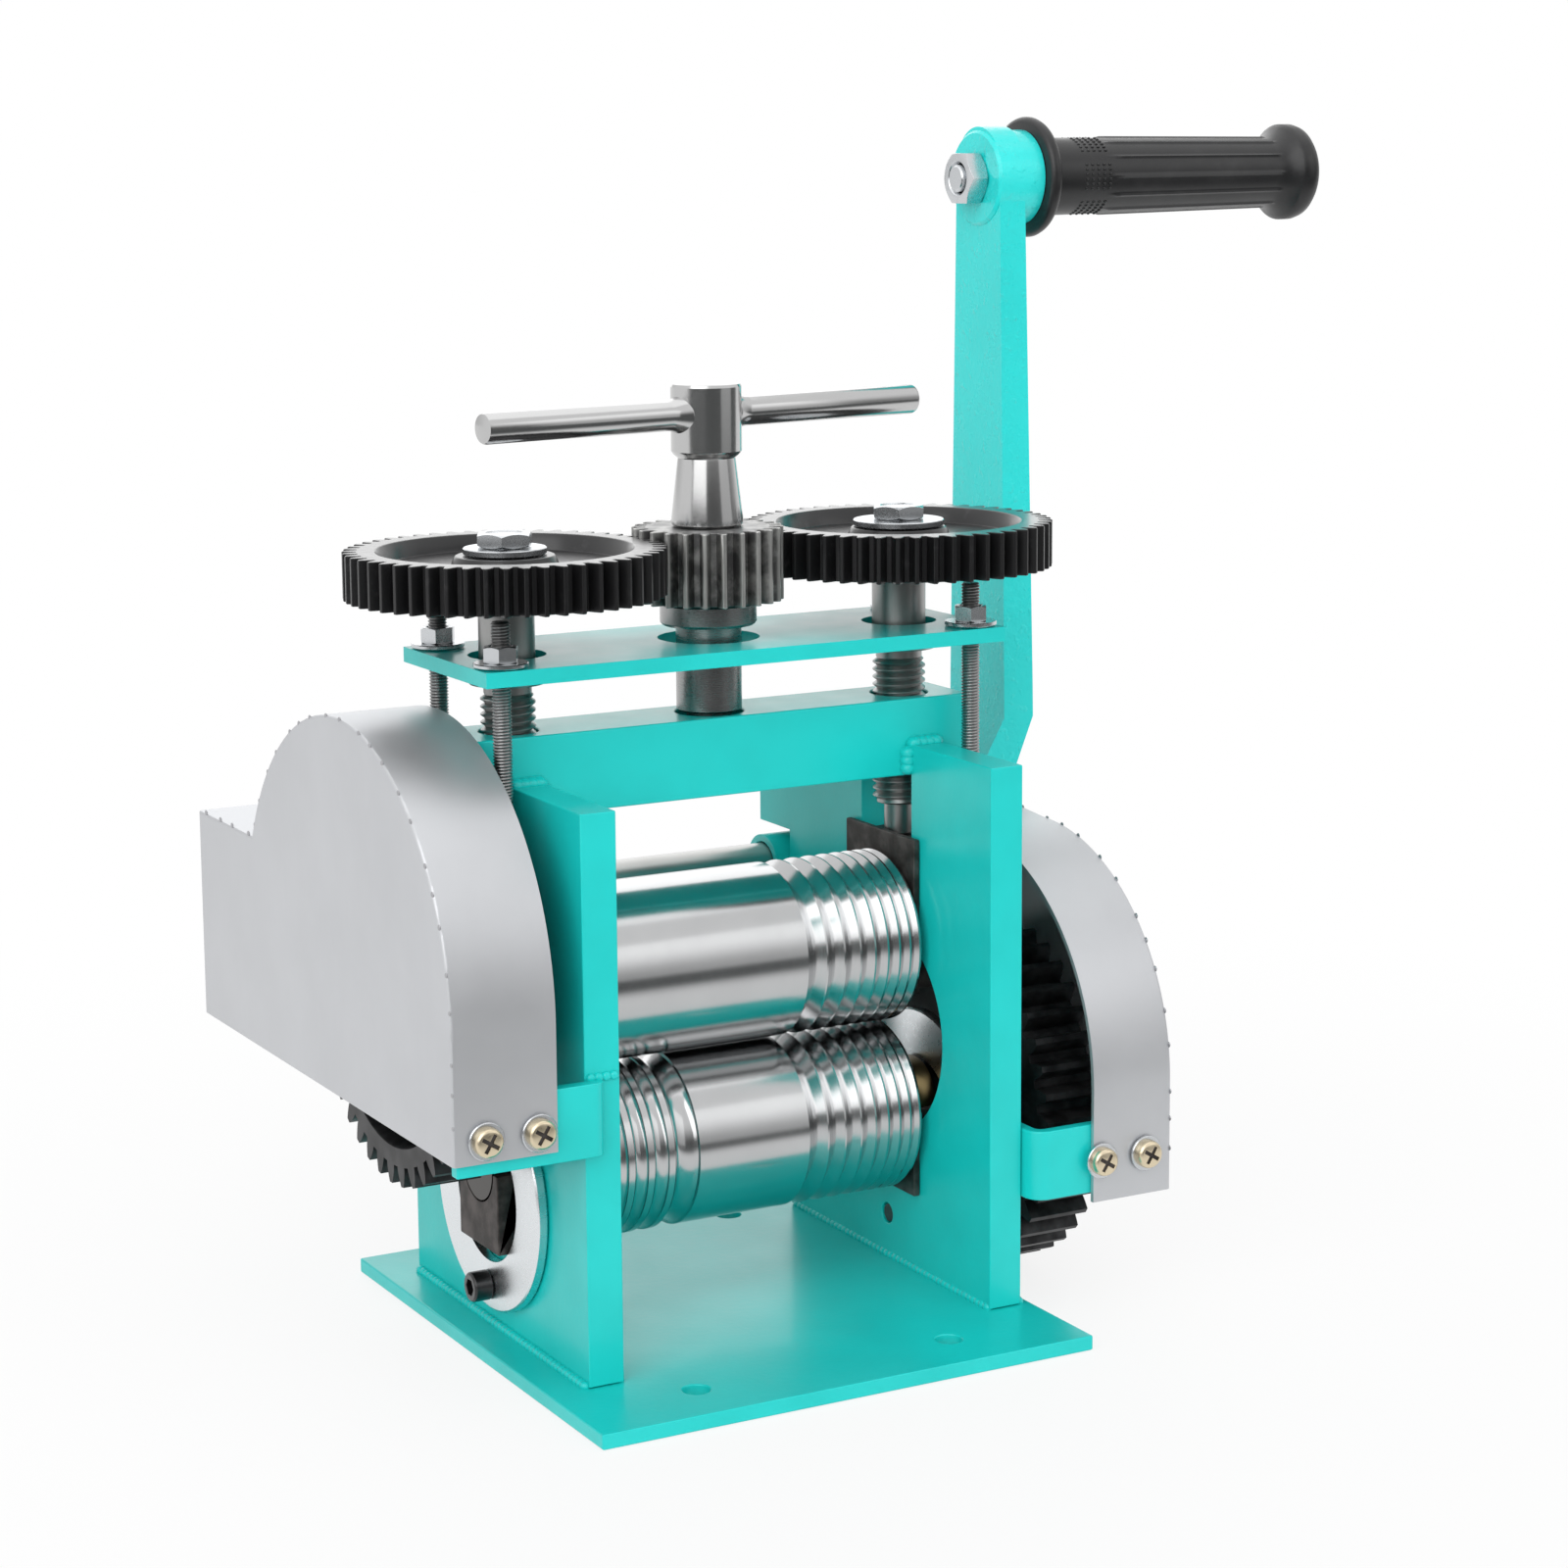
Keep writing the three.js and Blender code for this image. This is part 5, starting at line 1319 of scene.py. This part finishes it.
def crank_arm():
    shaft, eye = SHAFT_AXIS, Vector((0, SHAFT_AXIS.y, GRIP_AXIS.z))
    crown = eye.z + ARM_TOP_RISE
    top = crown + ARM_TOP_HALF + PAST
    knee, foot, floor = shaft.z + BEND_TOP, shaft.z + BEND_FOOT, shaft.z - HUB_RADIUS
    bent = [(ARM_FACE, top), (ARM_FACE, knee), (HUB_NEAR, foot), (HUB_NEAR, floor), (HUB_FAR, floor),
            (HUB_FAR, foot), (ARM_FACE + ARM_FOOT_THICK, knee), (ARM_FACE + ARM_TOP_THICK, top)]
    side_view = plate(bent, "Y", shaft.y - BAR_WIDE, shaft.y + BAR_WIDE)
    hip = shaft.z + ARM_FOOT_RISE
    front = arc((shaft.y, crown), ARM_TOP_HALF, 0, 180, 32) + [(shaft.y - ARM_FOOT_HALF, hip)]
    front += arc((shaft.y, shaft.z), HUB_RADIUS, 180, 360, 32) + [(shaft.y + ARM_FOOT_HALF, hip)]
    front_view = plate(front, "X", HUB_NEAR - PAST, ARM_FACE + PAST_ARM)
    arm = carved(side_view, front_view, "INTERSECT")
    boss = turned([(0, EYE_NEAR), (EYE_RADIUS - EYE_EASE, EYE_NEAR), (EYE_RADIUS, EYE_NEAR + EYE_EASE),
                   (EYE_RADIUS, EYE_FAR), (0, EYE_FAR)], "X", eye, 72)
    arm = carved(arm, boss, "UNION")
    arm = carved(arm, rod(HUB_BORE, HUB_NEAR - PAST, HUB_FAR + PAST, "X", shaft, 48))
    arm = carved(arm, rod(EYE_BORE, EYE_NEAR - PAST, EYE_FAR + PAST, "X", eye, 48))
    finished(arm, "cast_crank_arm", CAST_PAINT_WITH_PAINTED_LIGHT, "crank_arm", soften=2.2, segments=4, smooth=32, flat=True)


crank_arm()

# %% [markdown]
# The grip is moulded rubber. It is spun with sixteen points for each rib, and the points on a rib
# are pushed outwards a little. Ribs made as separate bars would need joins along the whole sleeve.
# The stipple near the guard is made of small drops that are half sunk into the sleeve.

# %% Grip
GUARD_RADIUS, GUARD_THICK = 17, 4
GUARD = ((-1.4, 0), (-0.4, 0.5), (0, 1.4), (0, 2.4), (-0.5, 3.4), (-1.6, GUARD_THICK))
SLEEVE_NEAR, SLEEVE_FAR, SLEEVE_FOOT, SLEEVE_STEPS = 11.1, 10, (0.8, 0.2), 40
FLANGE_RADIUS, FLANGE_LENGTH, FLARE_LENGTH, FLARE_STEPS = 14, 6, 7, 8
FLANGE = ((0, -3), (-0.5, -1.4), (-1.6, -0.3), (-2.8, 0))
WELL_RADIUS, WELL = 7.3, ((0.3, 0), (0, -0.4), (0, -4.4))
RIBS, RIB_POINTS, RIB_RISE, RIB_CROWN, RIB_HALF = 12, 16, 0.45, 0.5, 1.2
RIB_START, RIB_STOP = 25, 11.5
DOTS, DOT_START, DOT_STEP = 5, 15.7, 2.0
DOT_PATCHES, DOT_COLUMNS, DOT_TURN, DOT_SINK = 6, 6, math.radians(7.2), 0.25
DOT_SIZE = (0.55, 0.45, 0.45)


def grip_profile(near, far):
    waist, flare = near + GUARD_THICK + 1, far - FLANGE_LENGTH - FLARE_LENGTH
    out, on = SLEEVE_FOOT
    profile = [(0, near)] + shifted(GUARD_RADIUS, near, GUARD)
    profile += [(SLEEVE_NEAR + out, near + GUARD_THICK + on), (SLEEVE_NEAR, waist)]
    for i in range(1, SLEEVE_STEPS + 1):
        share = i / SLEEVE_STEPS
        profile.append((SLEEVE_NEAR + (SLEEVE_FAR - SLEEVE_NEAR) * share,
                        waist + (flare - waist) * share))
    for i in range(1, FLARE_STEPS + 1):
        share = i / FLARE_STEPS
        profile.append((SLEEVE_FAR + (FLANGE_RADIUS - SLEEVE_FAR) * share ** 2,
                        flare + FLARE_LENGTH * share))
    profile += shifted(FLANGE_RADIUS, far, FLANGE) + shifted(WELL_RADIUS, far, WELL)
    return profile + [(0, profile[-1][1])]


# %% Ribs and stipple of the grip


def ribbed(body, near, far):
    for vert in body.verts:
        if not near + RIB_START < vert.co.x < far - RIB_STOP:
            continue
        arm = Vector((0, vert.co.y - GRIP_AXIS.y, vert.co.z - GRIP_AXIS.z))
        turn = math.atan2(arm.z, arm.y) / FULL_TURN * RIBS
        offset = abs(turn - round(turn)) * RIB_POINTS
        if offset < RIB_HALF:
            vert.co += arm.normalized() * RIB_RISE * (1 if offset < RIB_CROWN else 0.5)
    return body


def stipple(near):
    dots = []
    reach = SLEEVE_NEAR - DOT_SINK
    for patch in range(DOT_PATCHES):
        for row in range(DOTS):
            for column in range(DOT_COLUMNS):
                turn = FULL_TURN * (patch / DOT_PATCHES)
                turn += DOT_TURN * (column - (DOT_COLUMNS - 1) / 2)
                spot = Vector((0, math.cos(turn), math.sin(turn))) * reach
                spot.x = near + DOT_START + DOT_STEP * row
                dots.append(spot + Vector((0, GRIP_AXIS.y, GRIP_AXIS.z)))
    return drops(dots, DOT_SIZE)


low, high = cad_box("grip")
sleeve = turned(grip_profile(low.x, high.x), "X", GRIP_AXIS, RIBS * RIB_POINTS)
finished(ribbed(sleeve, low.x, high.x), "moulded_grip", RUBBER, "grip", soften=0, smooth=50)
finished(stipple(low.x), "stipple_of_grip", RUBBER, body=BODY_OF["grip"], slot="rubber", soften=0)

# %% Grip lock nut
GRIP_NUT_ACROSS, LOCK_BORE, LOCK_MOUTH, LOCK_EASE = 14, 4.2, 4.9, 0.8

low, high = cad_box("grip_nut")
spot = Vector((0, GRIP_AXIS.y, GRIP_AXIS.z))
start, end = low.x - PAST, high.x + PAST
hole = turned([(0, start), (LOCK_MOUTH, start), (LOCK_MOUTH, low.x),
               (LOCK_BORE, low.x + LOCK_EASE), (LOCK_BORE, end), (0, end)], "X", spot, 48)
nut = carved(hexagon(GRIP_NUT_ACROSS, low.x, high.x, "X", spot), hole)
finished(nut, "pressed_grip_nut", ZINC, "grip_nut", soften=0.12)

# %% Grip bolt, with a pointed end and a socket head
POINT_RADIUS, POINT_LENGTH, POINT_LAP = 3.2, 0.7, 0.3
GRIP_HEAD_RADIUS, GRIP_HEAD, GRIP_HEAD_EASE = 7, 4, 0.8
GRIP_SOCKET, GRIP_SOCKET_DEPTH = 3.6, 2.4

low, high = cad_box("grip_bolt")
tip, seat, crown = low.x + POINT_LENGTH, high.x - GRIP_HEAD, high.x - GRIP_HEAD_EASE
shank = rod(BOLT_RADIUS, tip - POINT_LAP, seat + LAP, "X", spot, 40)
point = turned([(0, low.x), (POINT_RADIUS, low.x), (BOLT_RADIUS, tip), (0, tip)], "X", spot, 40)
head = turned([(0, seat), (GRIP_HEAD_RADIUS, seat), (GRIP_HEAD_RADIUS, crown),
               (GRIP_HEAD_RADIUS - GRIP_HEAD_EASE, high.x), (0, high.x)], "X", spot, 48)
outline = arc((spot.y, spot.z), GRIP_SOCKET, 0, 300, 5)
socket = plate(outline, "X", high.x - GRIP_SOCKET_DEPTH, high.x + PAST)
finished(together(shank, point, carved(head, socket)), "turned_grip_bolt", ZINC, "grip_bolt",
         soften=0.1)

# %% [markdown]
# ## Welds
# The frame is welded where plates meet. A weld bead is a row of overlapping puddles, so it is made
# as one: flattened drops set close together along each seam, in the frame's paint.

# %% Beads along the seams
BEAD_STEP, BEAD_END, BEAD_OUT = 2.1, 1, 0.5
BASE_BEAD, BEAM_BEAD, BRACKET_BEAD = (1.3, 1.7, 1.3), (2.3, 2.3, 1.9), (1.3, 1.0, 1.2)
BASE_RISE, BEAM_OUT, BEAM_TUCK, TOP_RISE, BRACKET_OUT = 0.4, 0.6, 0.4, 0.3, 0.2


def bead(name, lines, stretch):
    places = [spot for line in lines for spot in along(line, (BEAD_STEP,))]
    finished(drops(places, stretch), name, PAINT, body="frame", slot="paint", soften=0)


front, plate_top = cad_box("left_side_plate")[0].y, cad_box("left_side_plate")[1].z
beam_low, beam_high = cad_box("cross_beam")
z = cad_box("base_plate")[1].z + BASE_RISE
seams = []
for x in (-PLATE_OUT, -PLATE_IN, PLATE_IN, PLATE_OUT):
    x += math.copysign(BEAD_OUT, x)
    seams.append([(x, front + BEAD_END, z), (x, BACK_EDGE - BEAD_END, z)])
bead("welds_at_the_base", seams, BASE_BEAD)

seams = []
for side in (-1, 1):
    x, z = side * (PLATE_IN - BEAM_TUCK), plate_top + TOP_RISE
    near, far = side * (PLATE_IN + BEAD_OUT), side * (PLATE_OUT - BEAD_OUT)
    for y in (beam_low.y - BEAM_OUT, beam_high.y + BEAM_OUT):
        seams.append([(x, y, beam_low.z + BEAD_END), (x, y, plate_top - BEAD_OUT)])
        seams.append([(near, y, z), (far, y, z)])
bead("welds_at_the_beam", seams, BEAM_BEAD)

y, z = front - BRACKET_OUT, cad_box("left_cover_bracket")[1].z + BASE_RISE
bead("weld_of_the_left_bracket", [[(-PLATE_OUT + BEAD_OUT, y, z), (-PLATE_IN - BEAD_OUT, y, z)]],
     BRACKET_BEAD)

# %% [markdown]
# ## Studio
# The mill stands on a pale floor under large soft lamps. The floor fades to plain white away from
# the mill, so no horizon shows. Steel needs something dark to reflect, so mirror-like rays see a
# room: dark in front where the camera is, bright at the sides and overhead. What lights the paint
# is softer: pale all round and brighter in front. A real studio does this with black and white
# boards. Boards in the scene would also shade the floor, so the world does their work.

# %% World
HORIZON = ((-180, 0.65), (-150, 0.8), (-125, 1.0), (-85, 1.0), (-75, 0.1), (-5, 0.1), (15, 0.13),
           (50, 0.13), (62, 0.25), (80, 0.5), (105, 1.0), (135, 1.0), (180, 0.65))
BACK_SKY, FRONT_SKY, SKY_TURN = (0.4, 0.4, 0.4), (1.0, 1.0, 1.0), (-0.2, 0.9)
WHITE, GROUND = (1.0, 1.0, 1.0), (0.5, 0.5, 0.5)
CEILING_START, GROUND_START = (0.05, 0.5), (0.08, 0.28)


def make_world():
    world = bpy.data.worlds.new("studio")
    bpy.context.scene.world = world
    sky = Finish("studio", world)
    x, y, z = sky.apart(sky.node("TexCoord", output=0))
    bearing = sky.node("Math", {"operation": "ARCTAN2"}, {0: x, 1: 0 - y})
    stops = [(degrees / 360 + 0.5, level) for degrees, level in HORIZON]
    horizon = sky.node("ValToRGB", {"stops": stops}, {0: bearing / FULL_TURN + 0.5})
    room = sky.mix(sky.ramp(z, *CEILING_START), horizon, WHITE)
    room = sky.mix(sky.ramp(0 - z, *GROUND_START), room, GROUND)
    camera, glossy = sky.rays("Camera", "Glossy")
    soft = sky.mix(sky.ramp(0 - y, *SKY_TURN), BACK_SKY, FRONT_SKY)
    seen = sky.mix(camera, sky.mix(glossy, soft, room), WHITE)
    background = sky.tree.nodes["Background"]
    sky.feed(background.inputs["Color"], seen)
    background.inputs["Strength"].default_value = 1.0


make_world()

# %% [markdown]
# A lit floor alone would show its far edge. So it also glows, to camera, mirror and glass rays only,
# and the glow grows to pure white away from the mill. Near the mill some of the paint-like floor is
# left, which takes the soft shadow. In front it looks dark to the steel, as a real table's edge is.

# %% Floor
FLOOR_HALF, FLOOR_DROP = 6, 0.0002
NEAR_GLOW, FADE = 0.84, (0.14, 0.5)
FRONT_DARK, FRONT_LEVEL = (0.18, 0.4), (0.12, 0.125, 0.125)


def make_floor():
    bm = bmesh.new()
    bmesh.ops.create_grid(bm, x_segments=1, y_segments=1, size=FLOOR_HALF)
    bmesh.ops.translate(bm, vec=(0, 0, -FLOOR_DROP), verts=bm.verts)
    mesh = bpy.data.meshes.new("floor")
    bm.to_mesh(mesh)
    bm.free()
    floor = bpy.data.objects.new("floor", mesh)
    bpy.context.scene.collection.objects.link(floor)
    stone = Finish("pale_floor")
    stone.set(Base_Color=(0.9, 0.9, 0.9, 1), Roughness=0.6)
    where = stone.node("TexCoord", output=3)
    camera, glossy, clear = stone.rays("Camera", "Glossy", "Transmission")
    far = stone.node("VectorMath", {"operation": "LENGTH"}, {0: where}, output=1)
    _, y, _ = stone.apart(where)
    front = stone.ramp(0 - y, *FRONT_DARK)
    glow = stone.node("Emission", {}, {"Color": stone.mix(glossy * front, WHITE, FRONT_LEVEL)})
    seen = stone.node("Math", {"operation": "MINIMUM"}, {0: camera + glossy + clear, 1: 1.0})
    share = seen * (NEAR_GLOW + (1 - NEAR_GLOW) * stone.ramp(far, *FADE))
    painted_floor = Wire(stone, stone.surface.outputs[0])
    mixed = stone.node("MixShader", {}, {0: share, 1: painted_floor, 2: glow})
    stone.feed(stone.tree.nodes["Material Output"].inputs["Surface"], mixed)
    mesh.materials.append(stone.owner)


make_floor()

# %% [markdown]
# Four large area lamps give soft shadows. The key lamp stands on the left, as the covers show in
# the photograph, and the others only lift the sides that it leaves dark.

# %% Lamps
TARGET = Vector((0.02, 0.0, 0.14))
LAMPS = (("key", (-1.5, -1.1, 1.2), (2.0, 2.0), 21), ("fill", (1.2, -1.4, 0.7), (1.4, 1.4), 3),
         ("top", (0.0, 0.2, 1.7), (2.2, 1.8), 6), ("back", (0.5, 1.5, 0.9), (1.4, 1.4), 5))

for name, place, size, power in LAMPS:
    light = bpy.data.lights.new(name, "AREA")
    light.shape = "RECTANGLE"
    light.size, light.size_y = size
    light.energy = power
    lamp = bpy.data.objects.new(name, light)
    bpy.context.scene.collection.objects.link(lamp)
    lamp.location = place
    lamp.rotation_euler = (TARGET - Vector(place)).to_track_quat("-Z", "Y").to_euler()
    print(name, "lamp", power, "W")

# %% [markdown]
# ## Camera
# The photograph was taken from the front left, a little above the mill, with a long lens. The
# frame is 1600 pixels square and its optical centre is off the middle, which the shift gives back.

# %% Camera at the photograph's angle
FRAME_PIXELS = 1600
FOCAL_PIXELS = 3590.94
OPTICAL_CENTRE = (742.19, 713.32)
AIM = Vector((0.12394, 0.22225, 0.12))
DISTANCE = 1.16806
AZIMUTH, ELEVATION, ROLL = -0.490255, 0.165088, -0.009842


def make_camera():
    back = Vector((math.sin(AZIMUTH) * math.cos(ELEVATION),
                   -math.cos(AZIMUTH) * math.cos(ELEVATION), math.sin(ELEVATION)))
    right = (-back).cross(AXES["Z"]).normalized()
    up = right.cross(-back)
    turned_right = math.cos(ROLL) * right + math.sin(ROLL) * up
    turned_up = math.cos(ROLL) * up - math.sin(ROLL) * right
    data = bpy.data.cameras.new("camera")
    data.sensor_width = 36
    data.lens = data.sensor_width * FOCAL_PIXELS / FRAME_PIXELS
    data.shift_x = (FRAME_PIXELS / 2 - OPTICAL_CENTRE[0]) / FRAME_PIXELS
    data.shift_y = -(FRAME_PIXELS / 2 - OPTICAL_CENTRE[1]) / FRAME_PIXELS
    camera = bpy.data.objects.new("camera", data)
    bpy.context.scene.collection.objects.link(camera)
    axes = Matrix((turned_right, turned_up, back)).transposed().to_4x4()
    camera.matrix_world = Matrix.Translation(AIM + back * DISTANCE) @ axes
    bpy.context.scene.camera = camera
    print("lens of", round(data.lens, 2), "mm")


make_camera()
bpy.context.scene.view_settings.view_transform = "Standard"
